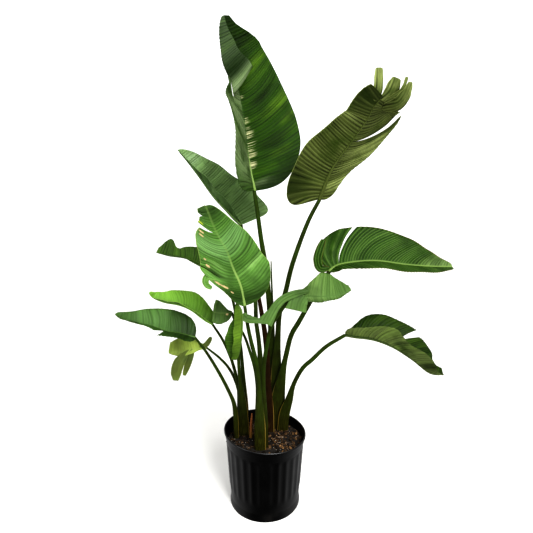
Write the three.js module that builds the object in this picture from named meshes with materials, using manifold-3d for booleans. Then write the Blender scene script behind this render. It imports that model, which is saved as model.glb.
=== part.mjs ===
// Potted bird of paradise: thirteen leaves, each a blade on its own stalk, with a rolled new leaf,
// a dried stalk and a dead stub, in potting mix in a soft black nursery pot.
// Millimetres, +Z up, origin at the centre of the pot's underside. -Y is the side seen first.
import * as THREE from 'three';
import { mergeVertices } from 'three/addons/utils/BufferGeometryUtils.js';
import Module from 'manifold-3d';

const wasm = await Module();
wasm.setup();

// Pot: a 10 inch nursery can with a rolled lip, a smooth band, moulded flutes and heel holes.
const POT = {
  height: 235,
  lipRadius: 127,
  baseRadius: 110,
  wall: 1.6,
  floor: 2.4,
  bandBottom: 205,
  fluteTop: 198,
  fluteBottom: 45,
  flutes: 28,
  fluteDepth: 1.6,
  foot: 7, // height of the plain ring the pot stands on
  setBack: 3, // of the fluted wall from the foot and the lip
  bandSetBack: 2, // of the smooth band
  lipHeight: 9,
  lipOverhang: 2.5,
  lean: 0.07, // the soft rim sags: drop per millimetre towards +X, growing with height
};
const HEEL_HOLES = { count: 6, radius: 5, height: 18 };

// Potting mix
const SOIL = { top: 205, gap: 0.4, crown: 4, crownRadius: 60 };
const SOCKET_GAP = 0.4; // clear space round each stalk in the mix

// Leaves
const BLADE_THICKNESS = 1.2;
const RIB_DEPTH = 2.6; // how far the midrib stands out under the blade, at its base
const STALK_SIDES = 8;
const STALK_STEP = 60; // length of one step along a stalk
const SHEATH_TOP = 0.5; // where a stalk starts to widen, as a share of its length
const SHEATH_REACH = 0.3; // and over how much of its length it widens
const SHEATH_DEPTH = 6; // half thickness of a stalk from front to back, at most
const STALK_CLEAR = 0.6; // from the end of a stalk to its blade
const SIDE_CLEAR = 0.3; // from the side of a stalk to its blade
const BLADE_GRID = { rows: 11, columns: 3 };
const STRIP_GRID = { rows: 5, columns: 2 };
const ROW_CROWDING = 1.6; // above 1, rows lie closer at the base of a blade
const ROLL_WIDTH = 0.2; // share of the width over which a half folds over

const COLOURS = {
  potPlastic: 0x17181a,
  soil: 0x2a1c14,
  bladeTop: 0x3c6b1c,
  bladeGrey: 0x4c6e44,
  bladeOlive: 0x4e6628,
  stalk: 0x2f4a1a,
  dried: 0x6a3f22,
};

// ---------------------------------------------------------------- geometry helpers

const clamp = THREE.MathUtils.clamp;
const radians = THREE.MathUtils.degToRad;
const vectors = (points) => points.map((p) => new THREE.Vector3(...p));

function toManifold(geometry) {
  const bare = geometry.clone();
  bare.deleteAttribute('normal');
  bare.deleteAttribute('uv');
  const merged = mergeVertices(bare, 1e-3);
  return new wasm.Manifold(new wasm.Mesh({
    numProp: 3,
    vertProperties: merged.attributes.position.array,
    triVerts: new Uint32Array(merged.index.array),
  }));
}

function toGeometry(manifold) {
  const mesh = manifold.getMesh();
  const geometry = new THREE.BufferGeometry();
  geometry.setAttribute('position', new THREE.BufferAttribute(mesh.vertProperties, 3));
  geometry.setIndex(new THREE.BufferAttribute(mesh.triVerts, 1));
  return geometry;
}

// Eased value between equally spaced knots; u runs 0 to 1.
function ease(values, u) {
  if (values.length === 1) return values[0];
  const x = clamp(u, 0, 1) * (values.length - 1);
  const i = Math.min(Math.floor(x), values.length - 2);
  const w = (x - i) * (x - i) * (3 - 2 * (x - i));
  return values[i] * (1 - w) + values[i + 1] * w;
}

function straight(values, u) {
  const x = clamp(u, 0, 1) * (values.length - 1);
  const i = Math.min(Math.floor(x), values.length - 2);
  return values[i] + (values[i + 1] - values[i]) * (x - i);
}

// A stalk: a tapering rod bent along its route, widening near its foot into a sheath that is
// flat from front to back. swell makes it thicker and longer all round.
function rod({ route, tip, base, sheath }, swell = 0) {
  const curve = new THREE.CatmullRomCurve3(vectors(route));
  const length = curve.getLength();
  const section = new THREE.Shape(
    Array.from({ length: STALK_SIDES }, (_, i) => {
      const a = ((i + 0.5) / STALK_SIDES) * 2 * Math.PI;
      return new THREE.Vector2(Math.cos(a), Math.sin(a));
    }),
  );
  const geometry = new THREE.ExtrudeGeometry(section, {
    depth: 1,
    steps: Math.max(3, Math.round(length / STALK_STEP)),
    bevelEnabled: false,
  });
  const position = geometry.attributes.position;
  const across = new THREE.Vector3();
  const deep = new THREE.Vector3();
  const front = new THREE.Vector3(0, -1, 0);
  for (let i = 0; i < position.count; i++) {
    const u = position.getZ(i);
    const tangent = curve.getTangentAt(u);
    across.crossVectors(tangent, front).normalize();
    deep.crossVectors(tangent, across).normalize();
    const radius = tip + (base - tip) * u;
    const wide = radius + (sheath - base) * ease([0, 1], (u - SHEATH_TOP) / SHEATH_REACH);
    const past = u < 0.001 ? -swell : u > 0.999 ? swell : 0;
    const p = curve.getPointAt(u)
      .addScaledVector(tangent, past)
      .addScaledVector(across, position.getX(i) * (wide + swell))
      .addScaledVector(deep, position.getY(i) * (Math.min(radius, SHEATH_DEPTH) + swell));
    position.setXYZ(i, p.x, p.y, p.z);
  }
  return geometry;
}

// ---------------------------------------------------------------- blades

const HALF = {
  half: 60, // width from the midrib to the margin, at the widest
  peak: 0.36, // where along the midrib it is widest
  basePower: 1.8, // roundness of the outline below the widest place
  tipPower: 1.3, // and above it
  tipEase: 0.6,
  outline: null, // widths at equal steps, instead of the rounded outline
  sweep: 0.1, // how far the veins lean to the tip
  lobe: 0.04, // how far the base reaches back past the stalk
  fold: [15, 15], // lift of the half at the midrib, in degrees
  curl: [-12, -12], // further turn between the midrib and the margin
  roll: [0], // turn of the outer part of the half, folded over along a line
  rollAt: [0.4], // where that line lies, as a share of the width
  tipWidth: 1.5, // width of the half at the very tip
  tears: [],
};

function outlineAt(half, u) {
  const a = clamp(u / half.peak, 0, 1);
  const base = (1 - (1 - a) ** half.basePower) ** (1 / half.basePower);
  if (half.outline) return straight(half.outline, u) * base;
  if (u < half.peak) return base;
  const b = Math.min(1, (u - half.peak) / (1 - half.peak));
  return Math.pow(Math.max(0, 1 - Math.pow(b, half.tipPower)), half.tipEase);
}

// The frame of the blade at u along its midrib: place, direction, face normal and right side.
function ribFrame(curve, face, u) {
  const inside = clamp(u, 0, 1);
  const tangent = curve.getTangentAt(inside);
  const place = curve.getPointAt(inside)
    .addScaledVector(tangent, (u - inside) * curve.getLength());
  const normal = new THREE.Vector3(...[0, 1, 2].map((k) => ease(face.map((n) => n[k]), u)));
  normal.addScaledVector(tangent, -normal.dot(tangent)).normalize();
  return { place, tangent, normal, right: new THREE.Vector3().crossVectors(tangent, normal) };
}

// One half of a blade as a grid of points: rows along the midrib, columns out to the margin.
// A tear doubles its row, and the two share points as far as the tear is closed.
function halfSheet(curve, face, settings, sign, grid, stations) {
  const half = { ...HALF, ...settings };
  const { tears } = half;
  const columns = Array.from({ length: grid.columns + 1 }, (_, i) => i / grid.columns);
  const rows = [];
  for (const u of stations) {
    const torn = tears.find((tear) => tear.at === u);
    for (const bank of torn ? [-1, 1] : [0]) {
      const sweep = half.sweep * Math.sin(Math.PI * Math.min(u * 0.9 + 0.1, 1))
        * Math.min(1, u / 0.08);
      const width = u > 0.999 ? half.tipWidth : 4 + (half.half - 4) * outlineAt(half, Math.min(u + sweep, 1));
      const share = width / half.half;
      const back = half.lobe * Math.max(0, 1 - u / 0.22) ** 2 * share;
      const lean = (sweep - back) * Math.sqrt(share);
      const fold = ease(half.fold, u);
      const curl = ease(half.curl, u);
      const roll = ease(half.roll, u);
      let out = 0;
      let up = 0;
      let last = null;
      const points = columns.map((t) => {
        let angle = fold + curl * t + roll * ease([0, 1], (t - ease(half.rollAt, u)) / ROLL_WIDTH + 0.5);
        let along = u + lean * t ** 1.6;
        for (const tear of tears) {
          const way = u === tear.at ? bank : Math.sign(u - tear.at);
          const fade = Math.exp(-Math.abs(u - tear.at) / (tear.reach ?? 0.08));
          along += way * (tear.gap / 2) * fade * clamp((t - tear.deep) / (1 - tear.deep), 0, 1);
          const bend = way > 0 ? tear.after ?? 0 : tear.before ?? 0;
          angle += bend * fade * clamp((t - tear.deep) / 0.15, 0, 1);
        }
        const turn = radians(angle);
        if (last !== null) {
          const step = width / grid.columns;
          out += ((Math.cos(turn) + Math.cos(last)) / 2) * step;
          up += ((Math.sin(turn) + Math.sin(last)) / 2) * step;
        }
        last = turn;
        const frame = ribFrame(curve, face, along);
        return {
          point: frame.place.addScaledVector(frame.right, sign * out)
            .addScaledVector(frame.normal, up),
          shared: bank === 1 && t <= torn.deep + 1e-9,
        };
      });
      rows.push({ u, points });
    }
  }
  return rows;
}

// Row places along the midrib, closer near the base; some are moved to the tears of either half.
function rowStations(leaf, rows) {
  const torn = new Set([...(leaf.left.tears ?? []), ...(leaf.right.tears ?? [])].map((t) => t.at));
  const inner = Array.from({ length: rows - 1 }, (_, i) => ((i + 1) / rows) ** ROW_CROWDING);
  for (const at of torn) {
    const distances = inner.map((s) => (torn.has(s) ? 1 : Math.abs(s - at)));
    inner[distances.indexOf(Math.min(...distances))] = at;
  }
  return [0, ...inner.sort((a, b) => a - b), 1];
}

// Both halves joined at the midrib, as vertices and outward-facing quads.
function bladeSheet(leaf, grid) {
  const curve = new THREE.CatmullRomCurve3(vectors(leaf.rib));
  const stations = rowStations(leaf, grid.rows);
  const vertices = [];
  const quads = [];
  const ribIndex = new Map();
  for (const [name, sign] of [['right', 1], ['left', -1]]) {
    const rows = halfSheet(curve, leaf.face, leaf[name], sign, grid, stations);
    const index = [];
    rows.forEach((row, r) => {
      index.push(row.points.map(({ point, shared }, c) => {
        if (shared) return index[r - 1][c];
        const key = row.u.toFixed(6);
        if (c === 0 && ribIndex.has(key)) return ribIndex.get(key);
        vertices.push({ point, rib: c === 0 ? 1 - row.u : 0 });
        if (c === 0) ribIndex.set(key, vertices.length - 1);
        return vertices.length - 1;
      }));
      if (r === 0 || rows[r - 1].u === row.u) return;
      for (let c = 0; c < grid.columns; c++) {
        const [a, b] = [index[r - 1][c], index[r][c]];
        const [d, e] = [index[r - 1][c + 1], index[r][c + 1]];
        quads.push(sign > 0 ? [a, d, e, b] : [a, b, e, d]);
      }
    });
  }
  return { vertices, quads };
}

// A sheet given thickness: a closed solid with both faces and a rim. The midrib stands out below.
function thicken({ vertices, quads }, ribDepth) {
  const triangles = quads
    .flatMap(([a, b, c, d]) => [[a, b, c], [a, c, d]])
    .filter(([a, b, c]) => a !== b && b !== c && a !== c);
  const normals = vertices.map(() => new THREE.Vector3());
  const edges = new Map();
  for (const triangle of triangles) {
    const [a, b, c] = triangle.map((i) => vertices[i].point);
    const normal = b.clone().sub(a).cross(c.clone().sub(a));
    triangle.forEach((v, i) => {
      normals[v].add(normal);
      edges.set(v + ',' + triangle[(i + 1) % 3], [v, triangle[(i + 1) % 3]]);
    });
  }
  const rim = [...edges.values()].filter(([a, b]) => !edges.has(b + ',' + a));
  const count = vertices.length;
  const position = [];
  for (const way of [0.5, -0.5]) {
    vertices.forEach(({ point, rib }, i) => {
      const depth = way * BLADE_THICKNESS - (way < 0 && rib > 0 ? ribDepth * (0.3 + 0.7 * rib) : 0);
      position.push(...point.clone().addScaledVector(normals[i].normalize(), depth).toArray());
    });
  }
  const index = [];
  for (const [a, b, c] of triangles) index.push(a, b, c, a + count, c + count, b + count);
  for (const [a, b] of rim) index.push(b, a, a + count, b, a + count, b + count);
  const geometry = new THREE.BufferGeometry();
  geometry.setAttribute('position', new THREE.Float32BufferAttribute(position, 3));
  geometry.setIndex(index);
  return geometry;
}

// A blade with its torn strips, cleared round the end of its stalk.
function blade(leaf, stalk) {
  let solid = toManifold(thicken(bladeSheet(leaf, leaf.grid ?? BLADE_GRID), RIB_DEPTH));
  for (const strip of leaf.strips ?? []) {
    solid = solid.add(toManifold(thicken(bladeSheet(strip, STRIP_GRID), 0)));
  }
  const bodies = solid.subtract(toManifold(stalk)).decompose();
  return toGeometry(bodies.reduce((a, b) => (b.volume() > a.volume() ? b : a)));
}

// ---------------------------------------------------------------- leaf shapes

const tear = (at, deep, gap, before = 0, after = 0, reach = 0.08) =>
  ({ at, deep, gap, before, after, reach });

// rib: the midrib from the stalk to the tip. face: the way the upper face looks, at equal steps.
// left and right are the halves as seen from above with the tip away. stalk: from blade to mix.
const LEAVES = {
  // The tallest, upright, its left half folded forward over the midrib towards the tip.
  top: {
    colour: COLOURS.bladeTop,
    grid: { rows: 14, columns: 5 },
    rib: [[-30, 30, 970], [-45, 45, 1050], [-60, 60, 1170], [-75, 60, 1260], [-100, 50, 1355],
      [-110, 20, 1440]],
    face: [[0.15, -1, 0.12], [0.15, -1, 0.12], [0.2, -1, 0.1], [0.3, -1, 0]],
    left: {
      half: 150, peak: 0.14, basePower: 2.6, lobe: 0.1, tipPower: 1.75, tipEase: 0.5, sweep: 0.14,
      fold: [62, 72, 70, 44, 6, 6], curl: [0, 0, 0, 6, 0, 0],
      roll: [0, 0, 0, 120, 165, 160], rollAt: [0.46, 0.46, 0.46, 0.35, 0.37, 0.5],
      tears: [tear(0.54, 0.3, 0.03, -70, 0, 0.07)],
    },
    right: {
      half: 158, peak: 0.3, basePower: 1.9, lobe: 0.08, sweep: 0.16,
      outline: [1, 1, 1, 1, 0.95, 0.87, 0.775, 0.665, 0.545, 0.42, 0.08],
      fold: [14, 14, 10, 8], curl: [-10, -10, -8, 10],
    },
    stalk: {
      route: [[-30, 30, 970], [-20, 35, 900], [-10, 40, 825], [1, 44, 758], [11, 50, 667],
        [21, 64, 520], [25, 78, 398], [25, 85, 290], [25, 89, 160]],
      tip: 5, base: 8, sheath: 16,
    },
  },
  // Leaning to the front and right, underside seen, frayed into fingers at the tip.
  upper_right: {
    colour: COLOURS.bladeOlive,
    rib: [[155, -10, 945], [170, -25, 995], [190, -40, 1040], [235, -75, 1105], [260, -100, 1145],
      [274, -122, 1176], [292, -133, 1193]],
    face: [[-0.25, 0.8, 0.45], [-0.3, 0.75, 0.5], [-0.3, 0.7, 0.6]],
    left: {
      half: 106, peak: 0.14,
      outline: [0.4, 0.48, 0.55, 0.65, 0.78, 0.89, 0.95, 1.05, 1.16, 0.98, 0.8], tipWidth: 72,
      sweep: 0.29, lobe: 0.06, fold: [12, 15, 15], curl: [-10, -10],
      tears: [tear(0.53, 0.1, 0.035, 0, 4, 0.06)],
    },
    right: {
      half: 102, peak: 0.18, basePower: 2,
      outline: [0.95, 1, 1, 0.98, 0.94, 0.86, 0.77, 0.68, 0.58, 0.5, 0.4], tipWidth: 38,
      sweep: 0.06, lobe: 0.34, fold: [14, 14, 15], curl: [-10, -10],
    },
    strips: [
      {
        rib: [[274, -129, 1184], [278, -134, 1209], [276, -142, 1258]],
        face: [[-0.3, 0.9, 0.2]],
        left: { half: 11, outline: [0.5, 0.9, 1, 1, 0.9, 0.6], tipWidth: 5 },
        right: { half: 11, outline: [0.5, 0.9, 1, 1, 0.9, 0.6], tipWidth: 5 },
      },
      {
        rib: [[289, -129, 1184], [306, -140, 1200], [318, -150, 1232]],
        face: [[-0.3, 0.9, 0.2]],
        left: { half: 13, outline: [0.5, 0.8, 1, 1, 0.9, 0.8], tipWidth: 8 },
        right: { half: 14, outline: [0.7, 0.8, 0.9, 1, 1, 0.8], tipWidth: 8 },
      },
      {
        rib: [[294, -128, 1182], [331, -148, 1205], [340, -155, 1233]],
        face: [[-0.3, 0.9, 0.2]],
        left: { half: 6, outline: [1, 1, 1, 0.7, 0.1] },
        right: { half: 6, outline: [1, 1, 1, 0.7, 0.1] },
      },
      {
        rib: [[297, -103, 1173], [331, -128, 1178], [343, -142, 1195], [350, -154, 1222]],
        face: [[-0.3, 0.8, 0.4]],
        left: { half: 14, outline: [0.8, 1, 1, 0.7, 0.1] },
        right: { half: 14, outline: [0.8, 1, 0.9, 0.65, 0.1] },
      },
    ],
    stalk: {
      route: [[155, -10, 945], [125, -5, 885], [80, 5, 755], [61, 22, 667], [45, 36, 604],
        [40, 50, 525], [37, 58, 453], [36, 68, 332], [38, 75, 160]],
      tip: 5, base: 9.5, sheath: 18,
    },
  },
  // At the back, grey-green, a deep trough seen from its near side.
  upper_left: {
    colour: COLOURS.bladeGrey,
    rib: [[-75, 120, 865], [-115, 140, 905], [-165, 160, 955], [-215, 175, 1020],
      [-255, 185, 1070], [-285, 190, 1105]],
    face: [[0.55, -0.45, 0.7], [0.5, -0.5, 0.7], [0.4, -0.5, 0.7]],
    left: {
      half: 58, peak: 0.05, outline: [0.15, 0.3, 0.6, 0.9, 0.75, 0.85, 0.85, 0.5, 0.25, 0.15, 0.05],
      fold: [62, 60, 58], curl: [0, 0],
    },
    right: {
      half: 132, peak: 0.22, basePower: 2.8, lobe: 0.08, tipPower: 1.15, tipEase: 0.66, sweep: 0.08,
      fold: [30, 30, 25], curl: [-15, -10],
    },
    stalk: {
      route: [[-75, 120, 865], [-55, 95, 750], [-30, 60, 640], [-26, 26, 575], [-18, 4, 525],
        [-13, -12, 467], [-11, -24, 393], [-9, -30, 160]],
      tip: 4.5, base: 7, sheath: 15,
    },
  },
  // In front, its pleated upper face to the viewer, the left margin torn.
  front: {
    colour: COLOURS.bladeTop,
    rib: [[-55, -85, 655], [-65, -100, 715], [-85, -105, 765], [-100, -110, 810],
      [-125, -120, 860], [-150, -135, 930]],
    face: [[0.1, -0.9, 0.35], [0.1, -0.9, 0.3], [0.05, -0.9, 0.2]],
    left: {
      half: 84, peak: 0.5, basePower: 1.15,
      outline: [1, 1, 1, 1, 1, 1, 0.93, 0.83, 0.72, 0.62, 0.36], sweep: 0.31, fold: [15, 15],
      curl: [-12, -12],
      tears: [tear(0.27, 0.5, 0.03, -8, 0), tear(0.745, 0.25, 0.05), tear(0.9, 0.7, 0.04)],
    },
    right: {
      half: 96, peak: 0.3, basePower: 1.4, tipPower: 1.05, tipEase: 0.5, sweep: 0.15,
      fold: [12, 12],
    },
    strips: [
      {
        rib: [[-128, -124, 741], [-150, -129, 745], [-156, -131, 734], [-152, -131, 722],
          [-139, -130, 714]],
        face: [[0.1, -0.9, 0.3]],
        left: { half: 6, sweep: 0 },
        right: { half: 6, sweep: 0 },
      },
    ],
    stalk: {
      route: [[-55, -85, 655], [-48, -82, 602], [-38, -75, 547], [-24, -67, 484], [-17, -61, 420],
        [-13, -56, 160]],
      tip: 4, base: 7.5, sheath: 15.5,
    },
  },
  // Behind the front leaf, pointing back and left.
  back_left: {
    colour: COLOURS.bladeTop,
    rib: [[-120, 60, 700], [-165, 85, 725], [-210, 105, 745], [-260, 120, 760],
      [-310, 130, 765], [-355, 140, 775]],
    face: [[-0.1, -0.6, 0.8], [-0.1, -0.6, 0.8]],
    grid: { rows: 15, columns: 3 },
    left: { half: 66, fold: [52, 52], curl: [0, 0] },
    right: {
      half: 66, outline: [0.5, 0.6, 0.7, 0.78, 0.8, 0.78, 0.74, 0.66, 0.52, 0.34, 0.88, 0.85, 0.1],
      peak: 0.2, sweep: 0.06, fold: [25, 25], curl: [0, 0],
    },
    stalk: {
      route: [[-120, 60, 700], [-100, 58, 636], [-82, 54, 530], [-73, 54, 445], [-70, 57, 372],
        [-67, 61, 160]],
      tip: 4, base: 6, sheath: 13,
    },
  },
  // Long and level to the right, split twice near its base.
  right: {
    colour: COLOURS.bladeTop,
    grid: { rows: 16, columns: 3 },
    rib: [[185, -25, 740], [205, -20, 755], [245, -20, 765], [320, -20, 770], [405, -25, 760],
      [480, -30, 755], [535, -35, 755]],
    face: [[-0.1, -0.55, 0.85], [0, -0.6, 0.8], [0.05, -0.6, 0.8]],
    left: {
      half: 112, peak: 0.17, basePower: 2.1, lobe: 0.04, tipPower: 1.7, tipEase: 0.5, sweep: 0.3,
      fold: [30, 32, 32], curl: [-10, -10], tears: [tear(0.1, 0.06, 0.03)],
    },
    right: { half: 92, peak: 0.3, fold: [42, 42, 45], curl: [-18, -20, -25] },
    strips: [
      {
        rib: [[185, -22, 749], [157, -28, 750], [145, -30, 775], [153, -28, 809], [166, -22, 833]],
        face: [[0, -0.9, 0.4]],
        left: { half: 13, outline: [0.8, 1, 1, 0.8, 0.3], sweep: 0 },
        right: { half: 13, outline: [0.8, 1, 1, 0.8, 0.3], sweep: 0 },
      },
    ],
    stalk: {
      route: [[185, -25, 740], [155, -20, 690], [101, -2, 583], [80, 12, 538], [66, 28, 471],
        [53, 42, 396], [42, 54, 311], [38, 62, 160]],
      tip: 6, base: 9, sheath: 21,
    },
  },
  // Torn and drooping, at the centre right.
  torn: {
    colour: COLOURS.bladeTop,
    rib: [[65, -75, 665], [92, -83, 679], [122, -92, 685], [156, -98, 685], [196, -103, 690],
      [233, -105, 706]],
    face: [[-0.2, -0.5, 0.85], [0, -0.5, 0.85], [0.1, -0.5, 0.85]],
    left: {
      half: 78, outline: [0.15, 0.15, 0.2, 0.32, 0.68, 1, 1, 0.85, 0.68, 0.42, 0.05], sweep: 0.05,
      fold: [20, 20], curl: [-10, -10],
    },
    right: { half: 30, peak: 0.4, sweep: 0.05, fold: [-25, -30], curl: [-100, -110] },
    strips: [
      {
        rib: [[122, -82, 696], [89, -87, 690], [53, -90, 675], [32, -94, 654], [19, -98, 631],
          [6, -101, 607]],
        face: [[-0.1, -0.7, 0.7], [-0.1, -0.9, 0.4]],
        left: { half: 16, outline: [0.5, 0.6, 0.6, 0.65, 1], tipWidth: 16, sweep: 0 },
        right: { half: 28, outline: [0.3, 0.32, 0.36, 0.45, 1], tipWidth: 28, sweep: 0 },
      },
      {
        rib: [[4, -100, 611], [-21, -101, 615], [-40, -100, 615], [-56, -97, 620], [-64, -95, 633]],
        face: [[-0.1, -0.9, 0.4]],
        left: { half: 6, outline: [0.8, 1, 1, 1], tipWidth: 4, sweep: 0 },
        right: { half: 17, outline: [0.2, 0.25, 0.6, 1, 1, 0.8], tipWidth: 10, sweep: 0 },
      },
      {
        rib: [[109, -89, 685], [97, -93, 665], [92, -96, 643]],
        face: [[-0.1, -0.9, 0.3]],
        left: { half: 23, outline: [0.8, 0.9, 1], tipWidth: 22, sweep: 0 },
        right: { half: 38, outline: [0.6, 0.75, 1], tipWidth: 38, sweep: 0 },
      },
    ],
    stalk: {
      route: [[65, -75, 665], [47, -71, 639], [19, -62, 590], [6, -54, 530], [-3, -48, 467],
        [-5, -45, 393], [-4, -43, 160]],
      tip: 4, base: 7, sheath: 13,
    },
  },
  // Low on the right, arching over, a trough seen from its near side.
  lower_right: {
    colour: COLOURS.bladeTop,
    rib: [[240, -10, 545], [270, -20, 545], [320, -30, 540], [375, -40, 520], [430, -50, 485],
      [485, -55, 443], [520, -60, 440]],
    face: [[0.1, -0.35, 0.9], [0.2, -0.35, 0.9], [0.4, -0.35, 0.8]],
    left: {
      half: 90, sweep: 0.16, fold: [34, 40, 28], curl: [-15, -15],
      outline: [0.3, 0.62, 0.9, 1, 1, 0.97, 0.91, 0.84, 0.72, 0.45, 0.1],
      tears: [tear(0.46, 0.25, 0.08, 8, -14)],
    },
    right: {
      half: 72, peak: 0.16, outline: [0.5, 0.5, 0.6, 0.92, 1, 0.66, 0.6, 0.68, 0.68, 0.5, 0.05],
      fold: [78, 78, 62], curl: [0, 0],
    },
    stalk: {
      route: [[240, -10, 545], [185, 0, 505], [145, 10, 460], [118, 22, 428], [92, 32, 373],
        [76, 41, 311], [63, 46, 264], [54, 49, 160]],
      tip: 4.5, base: 7, sheath: 16,
    },
  },
  left: {
    colour: COLOURS.bladeTop,
    rib: [[-155, -15, 580], [-185, -15, 600], [-215, -20, 625], [-250, -20, 640],
      [-295, -25, 650], [-325, -30, 665], [-335, -35, 680]],
    face: [[0.1, -0.5, 0.85], [0, -0.5, 0.85]],
    left: { half: 52, fold: [62, 66], curl: [-20, -20] },
    right: { half: 52, peak: 0.42, fold: [35, 35], curl: [-20, -20] },
    stalk: {
      route: [[-155, -15, 580], [-127, -4, 528], [-105, 8, 469], [-90, 20, 405], [-80, 30, 330],
        [-73, 35, 160]],
      tip: 3.5, base: 5.5, sheath: 12,
    },
  },
  lower_left: {
    colour: COLOURS.bladeTop,
    rib: [[-200, -60, 555], [-240, -70, 570], [-275, -80, 580], [-310, -85, 595],
      [-350, -90, 605], [-385, -100, 620], [-410, -100, 635]],
    face: [[0.15, -0.45, 0.85], [0, -0.5, 0.85]],
    left: {
      half: 60, fold: [28, 46, 60, 60], curl: [-10, -20], tears: [tear(0.38, 0.3, 0.06, -16, 0)],
    },
    right: { half: 66, peak: 0.3, tipEase: 0.7, fold: [38, 38], curl: [-20, -20] },
    stalk: {
      route: [[-200, -60, 555], [-174, -42, 508], [-141, -22, 438], [-110, -6, 363], [-95, 2, 315],
        [-89, 8, 160]],
      tip: 3.5, base: 5.5, sheath: 7.5,
    },
  },
  // Small, olive, torn into lobes.
  lobed: {
    colour: COLOURS.bladeOlive,
    grid: { rows: 8, columns: 3 },
    rib: [[-180, 20, 495], [-206, 18, 493], [-230, 14, 489], [-260, 10, 484], [-294, 6, 487]],
    face: [[0, -0.5, 0.85], [0, -0.7, 0.6]],
    left: {
      half: 14, outline: [0.2, 0.3, 0.6, 1, 1, 0.7, 0.1], fold: [-10, -20], curl: [-10, -20],
      tears: [tear(0.6, 0.15, 0.08)],
    },
    right: {
      half: 50, outline: [0.15, 0.45, 0.8, 1, 0.98, 0.85, 0.5], tipWidth: 4, sweep: 0.05,
      fold: [12, 12], curl: [-15, -15],
    },
    strips: [
      {
        rib: [[-233, 14, 488], [-250, 3, 469], [-263, -4, 445], [-272, -6, 399]],
        face: [[0.2, -1, 0.1]],
        left: { half: 15, outline: [0.5, 0.8, 1, 1, 0.8, 0.3], tipWidth: 5, sweep: 0 },
        right: { half: 20, outline: [0.3, 0.6, 1, 1, 0.9, 0.3], tipWidth: 6, sweep: 0 },
      },
      {
        rib: [[-221, 16, 490], [-230, 9, 462], [-240, 7, 434], [-249, 6, 410]],
        face: [[0.2, -1, 0.1]],
        left: { half: 9, outline: [0.6, 1, 1, 1, 0.7, 0.1], sweep: 0 },
        right: { half: 14, outline: [0.6, 1, 1, 0.7, 0.5, 0.1], sweep: 0 },
      },
      {
        rib: [[-200, 21, 496], [-180, 21, 506], [-165, 25, 527]],
        face: [[0, -0.9, 0.3]],
        left: { half: 9, outline: [0.3, 0.5, 0.8, 0.7, 0.1], sweep: 0 },
        right: { half: 9, outline: [0.6, 1, 1, 0.7, 0.1], sweep: 0 },
      },
    ],
    stalk: {
      route: [[-180, 20, 495], [-140, 24, 459], [-112, 34, 420], [-92, 42, 372], [-79, 46, 309],
        [-72, 48, 160]],
      tip: 3, base: 5.5, sheath: 11,
    },
  },
  // Folded along its midrib and hanging straight down.
  hanging: {
    colour: COLOURS.bladeTop,
    grid: { rows: 8, columns: 3 },
    rib: [[-76, -84, 660], [-66, -96, 640], [-63, -104, 603], [-65, -106, 563], [-70, -104, 528],
      [-79, -100, 503]],
    face: [[-1, -0.3, 0.1], [-1, -0.2, 0]],
    left: {
      half: 26, outline: [0.7, 0.9, 1, 1, 1, 0.95, 0.9, 0.6], tipWidth: 8, sweep: 0.03,
      fold: [74, 74], curl: [-4, -4],
    },
    right: {
      half: 44, outline: [0.2, 0.3, 0.5, 0.85, 1, 1, 0.85, 0.4], tipWidth: 8, sweep: 0.03,
      fold: [70, 70], curl: [4, 4],
    },
    stalk: {
      route: [[-76, -82, 662], [-84, -66, 632], [-82, -46, 572], [-79, -20, 486], [-77, 2, 400],
        [-70, 16, 317], [-64, 22, 160]],
      tip: 3.5, base: 5.5, sheath: 14,
    },
  },
  small: {
    colour: COLOURS.bladeGrey,
    grid: { rows: 6, columns: 3 },
    rib: [[-95, -30, 620], [-110, -35, 620], [-130, -35, 620], [-150, -40, 625]],
    face: [[0.1, -0.8, 0.5], [0, -0.8, 0.4]],
    left: {
      half: 34, outline: [0.3, 0.7, 0.95, 1, 0.8], tipWidth: 14, sweep: 0, lobe: 0, fold: [10, 10],
      curl: [-10, -10],
    },
    right: {
      half: 36, outline: [0.1, 0.25, 0.7, 1, 1], tipWidth: 20, sweep: 0, lobe: 0, fold: [10, 10],
      curl: [-10, -10],
    },
    stalk: {
      route: [[-95, -30, 620], [-90, -32, 601], [-62, -26, 552], [-44, -18, 495], [-31, -13, 446],
        [-22, -11, 374], [-19, -15, 160]],
      tip: 3, base: 6.2, sheath: 11,
    },
  },
};

// Pieces with no blade: the rolled new leaf, a cut and dried stalk, and a dead stub.
const SHOOTS = {
  rolled_leaf: {
    colour: COLOURS.stalk, tip: 1.2, base: 5.5, sheath: 5.5,
    route: [[19, 40, 761], [22, 52, 666], [27, 80, 516], [30, 98, 374], [30, 103, 160]],
  },
  dried_stalk: {
    colour: COLOURS.dried, tip: 4, base: 6, sheath: 13,
    route: [[-17, 8, 655], [-9, 10, 608], [2, 14, 550], [10, 18, 497], [14, 24, 427], [15, 33, 322],
      [15, 38, 160]],
  },
  dead_stub: {
    colour: COLOURS.dried, tip: 4, base: 5, sheath: 5,
    route: [[-40, 4, 285], [-43, 5, 249], [-45, 6, 160]],
  },
};

// ---------------------------------------------------------------- pot and mix

const sideRadius = (z) => THREE.MathUtils.lerp(
  POT.baseRadius - POT.setBack,
  POT.lipRadius - 4 - POT.setBack,
  clamp(z / POT.bandBottom, 0, 1),
);

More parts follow.
